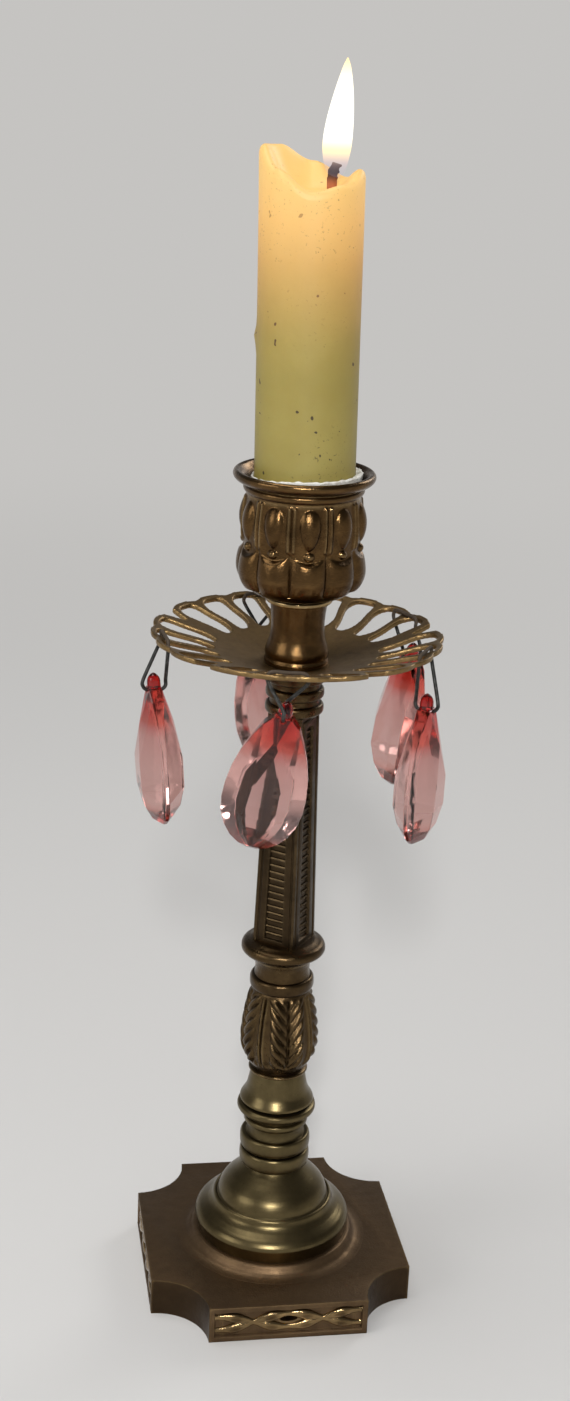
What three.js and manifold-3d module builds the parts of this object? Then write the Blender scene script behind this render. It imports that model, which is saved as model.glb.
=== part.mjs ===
// Crystal drop candlestick: a brass stick with a pierced pan, five glass drops and a half-burnt candle.
// Millimetres, +Z up. The origin lies on the stem's axis at the underside of the base.
// The base's front panel faces -Y.
import * as THREE from 'three';
import { mergeVertices } from 'three/addons/utils/BufferGeometryUtils.js';
import { ConvexGeometry } from 'three/addons/geometries/ConvexGeometry.js';
import Module from 'manifold-3d';

const wasm = await Module();
wasm.setup();

// Fits
const GAP = 0.3; // clearance between pieces that fit into or rest on each other

// Tie rod, with its nut and washer
const ROD_RADIUS = 2.5;
const ROD_END = 0.9; // height of the rod's lower end above the table
const ROD_HOLD = 12; // length of rod inside the cup's neck
const NUT_ACROSS_FLATS = 8;
const NUT_HEIGHT = 3.5;
const WASHER_RADIUS = 6;
const WASHER_THICKNESS = 1;

// Base plate
const PLATE_WIDTH = 62.3;
const PLATE_HEIGHT = 9.1;
const PLATE_CORNER_RADIUS = 12.4; // hollow bitten out of each corner
const PLATE_SIDE_WALL = 3;
const PLATE_TOP_WALL = 3;
const BOSS_HEIGHT = 2.5; // raised seat for the foot
const BOSS_LEDGE = 1.4; // seat showing round the foot
const BOSS_SLOPE = 3.6;
const PANEL_BORDER = 1.2;
const PANEL_DEPTH = 0.8;
const RIBBON_WIDTH = 1.2;
const RIBBON_RISE = 2.1; // half the height of the ribbons' wave
const RIBBON_LENS = 16.5; // length of one lens between two crossings
const EYE_LENGTH = 3.8; // pierced eye in the middle lens
const EYE_HEIGHT = 1.8;

// Turned foot
const FOOT_HEIGHT = 17.3;
const FOOT_RADIUS = 18.8;
const FOOT_EDGE_ROUND = 2.6;
const FOOT_EDGE_LEVEL = 3;
const FOOT_DOME_RADIUS = 13.3;
const FOOT_DOME_LEVEL = 9.2;
const FOOT_STEP = 1; // ledge between the foot's edge and its dome
const FOOT_STEP_RISE = 1.6;
const FOOT_NECK_RADIUS = 6.8;

// Stem spool
const SPOOL_FOOT_HEIGHT = 0.4;
const BEAD_RADIUS = 8.4;
const BEAD_HEIGHT = 3.8;
const BEAD_EDGE = 0.9; // undercut below a bead's widest line
const BEAD_GAP = 0.6;
const SPOOL_NECK_RADIUS = 6.9;
const SPOOL_NECK_HEIGHT = 2.8;
const SPOOL_RING_RADIUS = 7.65;
const SPOOL_RING_HEIGHT = 1.9;
const FLANGE_RADIUS = 9.35;
const FLANGE_THICKNESS = 1.7;
const FLANGE_RISE = 1.6; // from the spool's ring up to the flange
const FLANGE_SLOPE = 1.3; // from the flange up to the knop
const KNOP_RADIUS = 8.6;
const KNOP_HEIGHT = 6;
const KNOP_TOP_RADIUS = 6.1;
const KNOP_FILLET_HEIGHT = 1.4;

// Leaf baluster
const BALUSTER_FOOT_RADIUS = 6.2;
const BALUSTER_RADIUS = 8.85;
const BALUSTER_TOP_RADIUS = 6.7;
const BALUSTER_SWELL_LEVEL = 8.1;
const BALUSTER_BODY_HEIGHT = 21.6;
const BALUSTER_FOOT_HEIGHT = 1.3;
const BALUSTER_RING_RADIUS = 7.4;
const BALUSTER_RING_ROUND = 1.7;
const BALUSTER_NECK_RADIUS = 7;
const BALUSTER_NECK_HEIGHT = 5;
const LEAF_COUNT = 4;
const LEAF_SWELL = 0.35;
const LEAF_TURN = 275; // degrees, middle of one leaf

// Column with its collar and cap
const COLLAR_HEIGHT = 4.7;
const COLLAR_FOOT_RADIUS = 7.3;
const COLLAR_RADIUS = 9.86;
const COLLAR_EDGE_ROUND = 1.1;
const COLLAR_EDGE_LEVEL = 2.4;
const COLUMN_HEIGHT = 56;
const COLUMN_FOOT_WIDTH = 10.6;
const COLUMN_HEAD_WIDTH = 8.6;
const COLUMN_TURN = 52.2; // degrees, one face's outward direction
const LADDER_WIDTH = 4.4;
const LADDER_DEPTH = 0.6;
const LADDER_MARGIN = 3; // plain column below and above the rungs
const RUNG_PITCH = 1.7;
const RUNG_GAP = 0.9;
const CAP_HEIGHT = 10.5;
const CAP_RING_RADIUS = 6.6;
const CAP_RING_HEIGHT = 2.4;
const CAP_RING_EDGE = 0.5;
const CAP_GROOVE = 0.9;
const CAP_GROOVE_HEIGHT = 1.4;
const COLUMN_SEAT_LEDGE = 0.2; // collar and cap showing past the column's corners

// Drip pan
const PAN_THICKNESS = 1;
const PAN_SEAT_RADIUS = 7.8;
const PAN_RISE = 7.3;
const PAN_TURN = 257.2; // degrees, middle of the first lobe
const LOBE_COUNT = 5;
const LOBE_NOTCH_RADIUS = 26.5;
const PETAL_COUNT = 4; // petals in a lobe, each round one slot
const PETAL_ANGLE = 16; // degrees
const PETAL_CUSP = 0.8; // depth of the small notch between petals
const SLOT_START_RADIUS = 18.6;
const SLOT_END_RADIUS = 31.3;
const PAN_EDGE = 1.35; // brass left outside the slots
const PAN_RADIUS = SLOT_END_RADIUS + PAN_EDGE;
const SLOT_ROUND = 0.25; // share of a slot's length that each rounded end takes
const SPOKE_WIDTH = 1.75;

// Candle cup
const CUP_HEIGHT = 43.8;
const LIP_RADIUS = 15.57;
const LIP_MOUTH_RADIUS = 13.5;
const LIP_THICKNESS = 1.8;
const SOCKET_RADIUS = 11.75;
const SOCKET_DEPTH = 22.4;
const SOCKET_FLARE = 4.6; // depth of the widening mouth
const CUP_THROAT_RADIUS = 12.6; // below the lip
const CUP_THROAT_LEVEL = 37.1;
const CUP_UPPER_RADIUS = 13.2;
const CUP_UPPER_LEVEL = 31.6;
const CUP_BOWL_RADIUS = 13.7;
const CUP_BOWL_LEVEL = 24.1;
const CUP_BOWL_BOTTOM = 16;
const CUP_BEAD_RADIUS = 6.9;
const CUP_BEAD_HEIGHT = 1.5;
const CUP_NECK_RADIUS = 6.05;
const CUP_NECK_LEVEL = 9.2;
const CUP_FOOT_RADIUS = 7.2;
const CUP_FOOT_HEIGHT = 1.8;
const CUP_LOBES = 10;
const CUP_LOBE_SWELL = 0.4;
const CUP_LOBE_TURN = 268; // degrees, middle of one lobe

// Candle
const CANDLE_RADIUS = 11;
const CANDLE_LENGTH = 81.2; // from its foot to the molten pool
const CANDLE_SEAT_GAP = 0.5;
const CANDLE_LEAN = 1.06; // degrees
const LEAN_TURN = 170.2; // degrees, where the candle leans to
// Heights of the wax rim above the pool, evenly round from the side it leans to by the front.
const RIM_RISES = [8.8, 4.4, 0.3, 1.6, 4.2, 2, 5, 8.4];
const WICK_RADIUS = 0.9;
const WICK_OFFSET = 4; // from the candle's axis, away from the lean
const WICK_RISE = 5.8;
const WICK_BEND = 0.9;
const WICK_FOOT = 3; // wax below the wick
const PACKING_DEPTH = 2.6;
const PACKING_OVERHANG = 1.1; // how far it stands past the candle at its top
const PACKING_SHIFT = 0.35; // thicker on the side away from the lean

// Hanging drops
const HANG_INSET = 1.3; // from the slots' outer ends in to the wire's seat on the spoke
const HANG_RADIUS = SLOT_END_RADIUS - HANG_INSET;
const WIRE_RADIUS = 0.42;
const WIRE_DROPS = [9.6, 13.4, 11.2, 12, 12.4]; // from each seat down to the hole in the drop
const WIRE_REACHES = [1.3, 1, 2.6, 0.6, 2.1]; // how far outside its seat each hole hangs
const WIRE_SWAYS = [0.4, 0, 0, 0, 0]; // how far along the rim from its seat each hole hangs
const WIRE_TWISTS = [1, -1, 1, 1, 1]; // which of each wire's legs comes down outside its drop
const WIRE_PLUMB = 2.2; // straight leg below the seat
const WIRE_CLASP = 0.35; // half the gap between the wire's two ends
const DROP_LENGTH = 35.5;
const DROP_WIDTH = 17.8;
const DROP_THICKNESS = 9.8;
const DROP_HOLE_DEPTH = 4; // from the top of the head to the hole
const HEAD_RADIUS = 1.5;
const HEAD_DEPTH = 7; // how far the round head runs down into the cut body
const DROP_TILTS = [4.5, 1.2, 4.5, 4.5, 4.5]; // degrees, how far each drop's foot hangs inwards
const DROP_LEANS = [-11, 0, 4, -10, 2]; // degrees, each drop's lean to one side on its wire
const SPOKE_STEPS = [0, 0, -1, -1, 0]; // petals from the middle of its lobe to each hanger's spoke
const GIRDLE_CORNER = 0.72; // shares of the half width and half thickness at a drop's slanting facets
const GIRDLE_SLANT = 0.62;
// Levels of a drop: depth as a share of its length, then shares of its half width and half thickness,
// and the half width of its flat table.
const DROP_LEVELS = [
  { depth: 0.14, width: 0.4, thickness: 0.36, table: 0.12 },
  { depth: 0.32, width: 0.74, thickness: 0.72, table: 0 },
  { depth: 0.5, width: 0.95, thickness: 1, table: 0.34 },
  { depth: 0.67, width: 1, thickness: 1, table: 0.36 },
  { depth: 0.8, width: 0.93, thickness: 0.86, table: 0.28 },
  { depth: 0.92, width: 0.68, thickness: 0.58, table: 0.14 },
  { depth: 0.98, width: 0.36, thickness: 0.28, table: 0.06 },
  { depth: 1, width: 0.14, thickness: 0.1, table: 0 },
];

// Roundness of the faceted surfaces
const TURN_SIDES = 30;
const ARC_STEPS = 2;
const BORE_SIDES = 16;
const WIRE_SIDES = 5;
const WIRE_STEPS = 38;
const WICK_STEPS = 16;
const HEAD_SIDES = 8;
const RIBBON_STEPS = 14;
const WELD = 1e-4;

// Heights where the stacked pieces meet
const BORE_RADIUS = ROD_RADIUS + GAP;
const FOOT_Z = PLATE_HEIGHT + BOSS_HEIGHT;
const SPOOL_Z = FOOT_Z + FOOT_HEIGHT;
const UPPER_BEAD_LEVEL = SPOOL_FOOT_HEIGHT + BEAD_HEIGHT + BEAD_GAP;
const BEADS_HEIGHT = UPPER_BEAD_LEVEL + BEAD_HEIGHT;
const SPOOL_NECK_TOP = BEADS_HEIGHT + SPOOL_NECK_HEIGHT;
const SPOOL_RING_TOP = SPOOL_NECK_TOP + SPOOL_RING_HEIGHT;
const FLANGE_LEVEL = SPOOL_RING_TOP + FLANGE_RISE;
const FLANGE_TOP = FLANGE_LEVEL + FLANGE_THICKNESS;
const KNOP_LEVEL = FLANGE_TOP + FLANGE_SLOPE;
const SPOOL_HEIGHT = KNOP_LEVEL + KNOP_HEIGHT + KNOP_FILLET_HEIGHT;
const BALUSTER_Z = SPOOL_Z + SPOOL_HEIGHT;
const BALUSTER_RING_LEVEL = BALUSTER_BODY_HEIGHT + BALUSTER_RING_ROUND;
const BALUSTER_RING_TOP = BALUSTER_RING_LEVEL + BALUSTER_RING_ROUND;
const BALUSTER_HEIGHT = BALUSTER_RING_TOP + BALUSTER_NECK_HEIGHT;
const COLLAR_Z = BALUSTER_Z + BALUSTER_HEIGHT;
const COLUMN_Z = COLLAR_Z + COLLAR_HEIGHT;
const CAP_Z = COLUMN_Z + COLUMN_HEIGHT;
const PAN_Z = CAP_Z + CAP_HEIGHT;
const CUP_Z = PAN_Z + PAN_THICKNESS;
const ROD_TOP = CUP_Z + ROD_HOLD;
const SOCKET_FLOOR = CUP_HEIGHT - SOCKET_DEPTH;

// Colours as they look in the photo
const FINISHES = {
  castBrass: { color: 0x6b5534, roughness: 0.42, metalness: 1 },
  turnedBrass: { color: 0x8a7440, roughness: 0.28, metalness: 1 },
  cupBrass: { color: 0x8c6430, roughness: 0.3, metalness: 1 },
  panBrass: { color: 0x75603c, roughness: 0.5, metalness: 1 },
  steel: { color: 0x6d6a66, roughness: 0.45, metalness: 1 },
  wire: { color: 0x4a4a48, roughness: 0.5, metalness: 1 },
  glass: { color: 0xd88a86, roughness: 0.05, metalness: 0, transparent: true, opacity: 0.6 },
  wax: { color: 0xcfc07a, roughness: 0.5, metalness: 0 },
  char: { color: 0x231a15, roughness: 0.95, metalness: 0 },
  paper: { color: 0xe6e3da, roughness: 0.8, metalness: 0 },
};

const degrees = THREE.MathUtils.degToRad;

// Welds a geometry into a closed shell and drops the triangles that collapse on the axis.
function closedShell(geometry) {
  geometry.deleteAttribute('normal');
  geometry.deleteAttribute('uv');
  const shell = mergeVertices(geometry, WELD);
  const corners = shell.index.array;
  const kept = [];
  for (let i = 0; i < corners.length; i += 3) {
    const [a, b, c] = corners.slice(i, i + 3);
    if (a !== b && b !== c && c !== a) kept.push(a, b, c);
  }
  shell.setIndex(kept);
  if (signedVolume(shell) < 0) shell.setIndex(kept.reverse());
  return shell;
}

function signedVolume(shell) {
  const at = (i) => new THREE.Vector3().fromBufferAttribute(shell.attributes.position, shell.index.getX(i));
  let sum = 0;
  for (let i = 0; i < shell.index.count; i += 3) {
    sum += at(i).dot(at(i + 1).cross(at(i + 2)));
  }
  return sum;
}

function toSolid(geometry) {
  const shell = closedShell(geometry);
  const vertProperties = new Float32Array(shell.attributes.position.array);
  const triVerts = new Uint32Array(shell.index.array);
  return new wasm.Manifold(new wasm.Mesh({ numProp: 3, vertProperties, triVerts }));
}

function toGeometry(solid) {
  const mesh = solid.getMesh();
  const geometry = new THREE.BufferGeometry();
  geometry.setAttribute('position', new THREE.BufferAttribute(mesh.vertProperties, 3));
  geometry.setIndex(new THREE.BufferAttribute(mesh.triVerts, 1));
  geometry.computeVertexNormals();
  return geometry;
}

function piece(name, finish, geometry) {
  const mesh = new THREE.Mesh(geometry, new THREE.MeshStandardMaterial(FINISHES[finish]));
  mesh.name = name;
  return mesh;
}

// A turned shape: the profile is drawn in radius and height, then spun round Z.
function turned(draw, sides = TURN_SIDES) {
  const path = new THREE.Path();
  draw(path);
  return new THREE.LatheGeometry(path.getPoints(ARC_STEPS), sides).rotateX(Math.PI / 2);
}

function upright(topRadius, footRadius, height, sides, startAngle = 0) {
  const geometry = new THREE.CylinderGeometry(topRadius, footRadius, height, sides, 1, false, startAngle);
  return geometry.rotateX(Math.PI / 2).translate(0, 0, height / 2);
}

function extruded(shape, height) {
  const curveSegments = 2 * ARC_STEPS;
  return new THREE.ExtrudeGeometry(shape, { depth: height, bevelEnabled: false, curveSegments });
}

// A wire or wick of round section along a curve.
function alongCurve(points, radius, sides, steps) {
  const section = new THREE.Shape();
  for (let i = 0; i < sides; i += 1) {
    const turn = (2 * Math.PI * i) / sides;
    const corner = [radius * Math.cos(turn), radius * Math.sin(turn)];
    if (i === 0) section.moveTo(...corner);
    else section.lineTo(...corner);
  }
  const extrudePath = new THREE.CatmullRomCurve3(points, false, 'centripetal');
  return new THREE.ExtrudeGeometry(section, { steps, extrudePath });
}

// Moves each vertex of a turned shape outwards by swell(angle in degrees, radius, height).
function swollen(geometry, swell) {
  const position = geometry.attributes.position;
  for (let i = 0; i < position.count; i += 1) {
    const x = position.getX(i);
    const y = position.getY(i);
    const radius = Math.hypot(x, y);
    if (radius === 0) continue;
    const angle = THREE.MathUtils.radToDeg(Math.atan2(y, x));
    const scale = 1 + swell(angle, radius, position.getZ(i)) / radius;
    position.setXY(i, x * scale, y * scale);
  }
  return geometry;
}

// The plinth's outline: a square whose corners are hollowed by quarter circles.
function plateOutline(width, cornerRadius) {
  const half = width / 2;
  const shape = new THREE.Shape();
  shape.moveTo(half - cornerRadius, -half);
  for (let quarter = 0; quarter < 4; quarter += 1) {
    const turn = (quarter * Math.PI) / 2;
    const x = half * (Math.cos(turn) + Math.sin(turn));
    const y = half * (Math.sin(turn) - Math.cos(turn));
    shape.absarc(x, y, cornerRadius, turn + Math.PI, turn + Math.PI / 2, true);
  }
  shape.closePath();
  return shape;
}

// One wavy ribbon of a side panel, drawn along X with its height along Y.
function ribbonShape(length, side) {
  const edge = (offset) => Array.from({ length: RIBBON_STEPS + 1 }, (_, i) => {
    const along = length * (i / RIBBON_STEPS - 0.5);
    const wave = side * RIBBON_RISE * Math.cos((Math.PI * along) / RIBBON_LENS);
    return new THREE.Vector2(along, wave + offset);
  });
  return new THREE.Shape([...edge(-RIBBON_WIDTH / 2), ...edge(RIBBON_WIDTH / 2).reverse()]);
}

function eyeShape() {
  const shape = new THREE.Shape();
  shape.moveTo(-EYE_LENGTH / 2, 0);
  shape.quadraticCurveTo(0, -EYE_HEIGHT, EYE_LENGTH / 2, 0);
  shape.quadraticCurveTo(0, EYE_HEIGHT, -EYE_LENGTH / 2, 0);
  return shape;
}

function basePlate() {
  const seat = FOOT_RADIUS - FOOT_EDGE_ROUND / 2 + BOSS_LEDGE;
  const innerCorner = PLATE_CORNER_RADIUS + PLATE_SIDE_WALL;
  const hollowDepth = PLATE_HEIGHT - PLATE_TOP_WALL;
  const panelLength = PLATE_WIDTH - 2 * (PLATE_CORNER_RADIUS + PANEL_BORDER);
  const panelHeight = PLATE_HEIGHT - 2 * PANEL_BORDER;
  const innerWidth = PLATE_WIDTH - 2 * PLATE_SIDE_WALL;
  const hollowOutline = plateOutline(innerWidth, innerCorner - PLATE_SIDE_WALL);
  const hollow = extruded(hollowOutline, hollowDepth + GAP).translate(0, 0, -GAP);
  const boss = upright(seat, seat + BOSS_SLOPE, BOSS_HEIGHT + PLATE_TOP_WALL / 2, TURN_SIDES);
  let solid = toSolid(extruded(plateOutline(PLATE_WIDTH, PLATE_CORNER_RADIUS), PLATE_HEIGHT));
  solid = solid.add(toSolid(boss.translate(0, 0, PLATE_HEIGHT - PLATE_TOP_WALL / 2)));
  for (let side = 0; side < 4; side += 1) {
    const turn = (side * Math.PI) / 2;
    const onSide = (geometry, inset) => toSolid(geometry.rotateX(Math.PI / 2)
      .translate(0, inset - PLATE_WIDTH / 2, PLATE_HEIGHT / 2)
      .rotateZ(turn));
    const recess = new THREE.BoxGeometry(panelLength, panelHeight, 2 * PANEL_DEPTH);
    solid = solid.subtract(onSide(recess, 0));
    for (const face of [-1, 1]) {
      const ribbon = extruded(ribbonShape(panelLength + PANEL_BORDER, face), PANEL_DEPTH);
      solid = solid.add(onSide(ribbon, PANEL_DEPTH));
    }
    solid = solid.subtract(onSide(extruded(eyeShape(), 2 * PLATE_SIDE_WALL), 1.5 * PLATE_SIDE_WALL));
  }
  solid = solid.subtract(toSolid(hollow));
  solid = solid.subtract(toSolid(upright(BORE_RADIUS, BORE_RADIUS, 2 * FOOT_Z, BORE_SIDES)));
  return piece('base_plate', 'castBrass', toGeometry(solid));
}

function turnedFoot() {
  const geometry = turned((path) => {
    const edge = FOOT_RADIUS - FOOT_EDGE_ROUND;
    path.moveTo(BORE_RADIUS, 0);
    path.lineTo(FOOT_RADIUS - FOOT_EDGE_ROUND / 2, 0);
    path.absarc(edge, FOOT_EDGE_LEVEL, FOOT_EDGE_ROUND, -Math.PI / 3, Math.PI / 2);
    path.lineTo(FOOT_DOME_RADIUS + FOOT_STEP, FOOT_DOME_LEVEL - FOOT_STEP_RISE);
    path.lineTo(FOOT_DOME_RADIUS, FOOT_DOME_LEVEL);
    path.bezierCurveTo(
      FOOT_DOME_RADIUS, (FOOT_DOME_LEVEL + FOOT_HEIGHT) / 2,
      FOOT_NECK_RADIUS + 2 * FOOT_STEP, FOOT_HEIGHT - 3 * FOOT_STEP,
      FOOT_NECK_RADIUS, FOOT_HEIGHT,
    );
    path.lineTo(BORE_RADIUS, FOOT_HEIGHT);
    path.closePath();
  });
  const mesh = piece('turned_foot', 'turnedBrass', closedShell(geometry));
  mesh.position.z = FOOT_Z;
  return mesh;
}

function stemSpool() {
  const lip = FLANGE_THICKNESS / 4;
  const knopTop = KNOP_LEVEL + KNOP_HEIGHT;
  const geometry = turned((path) => {
    path.moveTo(BORE_RADIUS, 0);
    path.lineTo(SPOOL_NECK_RADIUS, 0);
    for (const level of [SPOOL_FOOT_HEIGHT, UPPER_BEAD_LEVEL]) {
      const top = level + BEAD_HEIGHT;
      path.lineTo(SPOOL_NECK_RADIUS, level);
      path.lineTo(BEAD_RADIUS, level + BEAD_EDGE);
      path.quadraticCurveTo(BEAD_RADIUS, top, SPOOL_NECK_RADIUS, top);
    }
    path.lineTo(SPOOL_NECK_RADIUS, SPOOL_NECK_TOP);
    path.lineTo(SPOOL_RING_RADIUS, SPOOL_NECK_TOP + lip);
    path.lineTo(SPOOL_RING_RADIUS, SPOOL_RING_TOP - lip);
    path.lineTo(SPOOL_NECK_RADIUS, SPOOL_RING_TOP);
    path.quadraticCurveTo(SPOOL_NECK_RADIUS, FLANGE_LEVEL, FLANGE_RADIUS - lip, FLANGE_LEVEL);
    path.lineTo(FLANGE_RADIUS, FLANGE_LEVEL + lip);
    path.lineTo(FLANGE_RADIUS, FLANGE_TOP - lip);
    path.lineTo(KNOP_RADIUS - lip, KNOP_LEVEL - lip);
    path.lineTo(KNOP_RADIUS, KNOP_LEVEL + lip);
    path.quadraticCurveTo(KNOP_RADIUS, knopTop - SPOOL_NECK_HEIGHT / 2, KNOP_TOP_RADIUS, knopTop);
    path.lineTo(KNOP_TOP_RADIUS, SPOOL_HEIGHT);
    path.lineTo(BORE_RADIUS, SPOOL_HEIGHT);
    path.closePath();
  });
  const mesh = piece('stem_spool', 'turnedBrass', closedShell(geometry));
  mesh.position.z = SPOOL_Z;
  return mesh;
}

function leafBaluster() {
  const geometry = turned((path) => {
    path.moveTo(BORE_RADIUS, 0);
    path.lineTo(BALUSTER_FOOT_RADIUS, 0);
    path.lineTo(BALUSTER_FOOT_RADIUS, BALUSTER_FOOT_HEIGHT);
    path.quadraticCurveTo(
      BALUSTER_RADIUS, BALUSTER_SWELL_LEVEL / 2,
      BALUSTER_RADIUS, BALUSTER_SWELL_LEVEL,
    );
    path.quadraticCurveTo(
      BALUSTER_RADIUS, (BALUSTER_SWELL_LEVEL + BALUSTER_BODY_HEIGHT) / 2,
      BALUSTER_TOP_RADIUS, BALUSTER_BODY_HEIGHT,
    );
    path.absarc(
      BALUSTER_RING_RADIUS - BALUSTER_RING_ROUND, BALUSTER_RING_LEVEL,
      BALUSTER_RING_ROUND, -Math.PI / 3, Math.PI / 3,
    );
    path.lineTo(BALUSTER_NECK_RADIUS, BALUSTER_RING_TOP);
    path.quadraticCurveTo(BALUSTER_NECK_RADIUS, BALUSTER_HEIGHT, COLLAR_FOOT_RADIUS, BALUSTER_HEIGHT);
    path.lineTo(BORE_RADIUS, BALUSTER_HEIGHT);
    path.closePath();
  });
  const leaves = swollen(geometry, (angle, radius, z) => {
    const inBody = z > BALUSTER_FOOT_HEIGHT && z < BALUSTER_BODY_HEIGHT && radius > BORE_RADIUS + WELD;
    if (!inBody) return 0;
    const height = (z - BALUSTER_FOOT_HEIGHT) / (BALUSTER_BODY_HEIGHT - BALUSTER_FOOT_HEIGHT);
    return LEAF_SWELL * Math.sin(Math.PI * height) * Math.cos(LEAF_COUNT * degrees(angle - LEAF_TURN));
  });
  const mesh = piece('leaf_baluster', 'castBrass', closedShell(leaves));
  mesh.position.z = BALUSTER_Z;
  return mesh;
}

function columnCollar() {
  const seat = COLUMN_FOOT_WIDTH / Math.SQRT2 + COLUMN_SEAT_LEDGE;
  const geometry = turned((path) => {
    path.moveTo(BORE_RADIUS, 0);
    path.lineTo(COLLAR_FOOT_RADIUS, 0);
    path.absarc(
      COLLAR_RADIUS - COLLAR_EDGE_ROUND, COLLAR_EDGE_LEVEL, COLLAR_EDGE_ROUND,
      -Math.PI / 4, Math.PI / 2,
    );
    path.quadraticCurveTo(seat, COLLAR_EDGE_LEVEL + 2 * COLLAR_EDGE_ROUND, seat, COLLAR_HEIGHT);
    path.lineTo(BORE_RADIUS, COLLAR_HEIGHT);
    path.closePath();
  });
  const mesh = piece('column_collar', 'castBrass', closedShell(geometry));
  mesh.position.z = COLLAR_Z;
  return mesh;
}

// The square column: each face has a ladder of notches between two plain borders.
function column() {
  const corner = (width) => width / Math.SQRT2;
  const shaft = upright(corner(COLUMN_HEAD_WIDTH), corner(COLUMN_FOOT_WIDTH), COLUMN_HEIGHT, 4, Math.PI / 4);
  let solid = toSolid(shaft);
  solid = solid.subtract(toSolid(upright(BORE_RADIUS, BORE_RADIUS, 3 * COLUMN_HEIGHT, BORE_SIDES)
    .translate(0, 0, -COLUMN_HEIGHT)));
  const rungs = Math.floor((COLUMN_HEIGHT - 2 * LADDER_MARGIN) / RUNG_PITCH);
  const firstNotch = (COLUMN_HEIGHT - (rungs - 1) * RUNG_PITCH) / 2;
  for (let rung = 0; rung < rungs; rung += 1) {
    const z = firstNotch + rung * RUNG_PITCH;
    const face = THREE.MathUtils.lerp(COLUMN_FOOT_WIDTH, COLUMN_HEAD_WIDTH, z / COLUMN_HEIGHT) / 2;
    for (let side = 0; side < 4; side += 1) {
      const notch = new THREE.BoxGeometry(2 * LADDER_DEPTH, LADDER_WIDTH, RUNG_GAP);
      solid = solid.subtract(toSolid(notch.translate(face, 0, z).rotateZ((side * Math.PI) / 2)));
    }
  }
  const mesh = piece('column', 'castBrass', toGeometry(solid));
  mesh.position.z = COLUMN_Z;
  mesh.rotation.z = degrees(COLUMN_TURN);
  return mesh;
}

function columnCap() {
  const seat = COLUMN_HEAD_WIDTH / Math.SQRT2 + COLUMN_SEAT_LEDGE;
  const groove = CAP_RING_RADIUS - CAP_GROOVE;
  const ringLevels = [CAP_HEIGHT - 2 * CAP_RING_HEIGHT - CAP_GROOVE_HEIGHT, CAP_HEIGHT - CAP_RING_HEIGHT];
  const geometry = turned((path) => {
    path.moveTo(BORE_RADIUS, 0);
    path.lineTo(seat, 0);
    path.lineTo(seat, CAP_GROOVE_HEIGHT);
    path.lineTo(groove, CAP_GROOVE_HEIGHT + CAP_RING_EDGE);
    for (const level of ringLevels) {
      path.lineTo(groove, level);
      path.lineTo(CAP_RING_RADIUS, level + CAP_RING_EDGE);
      path.lineTo(CAP_RING_RADIUS, level + CAP_RING_HEIGHT - CAP_RING_EDGE);
      path.lineTo(groove, level + CAP_RING_HEIGHT);
    }
    path.lineTo(BORE_RADIUS, CAP_HEIGHT);
    path.closePath();
  });
  const mesh = piece('column_cap', 'castBrass', closedShell(geometry));
  mesh.position.z = CAP_Z;
  return mesh;
}

// Height of the pan's upper face above its underside at a radius outside the seat.
function panTop(radius) {
  const climb = (radius - PAN_SEAT_RADIUS) / (PAN_RADIUS - PAN_SEAT_RADIUS);
  return PAN_THICKNESS + PAN_RISE * climb;
}

// The pan's rim seen from above: petals with cusps between them, and a deep notch between lobes.
function panOutline() {
  const step = PETAL_ANGLE / 4;
  const lobeAngle = 360 / LOBE_COUNT;
  const lobeEnd = (PETAL_COUNT * PETAL_ANGLE) / 2;
  const points = [];
  for (let lobe = 0; lobe < LOBE_COUNT; lobe += 1) {
    const addPoint = (radius, angle) => {
      const turn = degrees(angle + lobe * lobeAngle);
      points.push(new THREE.Vector2(radius * Math.cos(turn), radius * Math.sin(turn)));
    };
    for (let angle = -lobeEnd; angle <= lobeEnd; angle += step) {
      const bulge = Math.abs(Math.sin((Math.PI * angle) / PETAL_ANGLE));
      addPoint(PAN_RADIUS - PETAL_CUSP * (1 - bulge), angle);
    }
    addPoint(LOBE_NOTCH_RADIUS, lobeAngle / 2);
  }
  return new THREE.Shape(points);
}

// A slot that widens towards the rim, so that the spokes beside it keep their width.
function slotShape() {
  const round = SLOT_ROUND * (SLOT_END_RADIUS - SLOT_START_RADIUS);
  const near = SLOT_START_RADIUS + round;
  const far = SLOT_END_RADIUS - round;
  const half = (radius) => radius * Math.sin(degrees(PETAL_ANGLE / 2)) - SPOKE_WIDTH / 2;
  const shape = new THREE.Shape();
  shape.moveTo(SLOT_START_RADIUS, 0);
  shape.quadraticCurveTo(SLOT_START_RADIUS, -half(SLOT_START_RADIUS), near, -half(near));
  shape.lineTo(far, -half(far));
  shape.quadraticCurveTo(SLOT_END_RADIUS, -half(SLOT_END_RADIUS), SLOT_END_RADIUS, 0);
  shape.quadraticCurveTo(SLOT_END_RADIUS, half(SLOT_END_RADIUS), far, half(far));
  shape.lineTo(near, half(near));
  shape.quadraticCurveTo(SLOT_START_RADIUS, half(SLOT_START_RADIUS), SLOT_START_RADIUS, 0);
  return shape;
}

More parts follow.
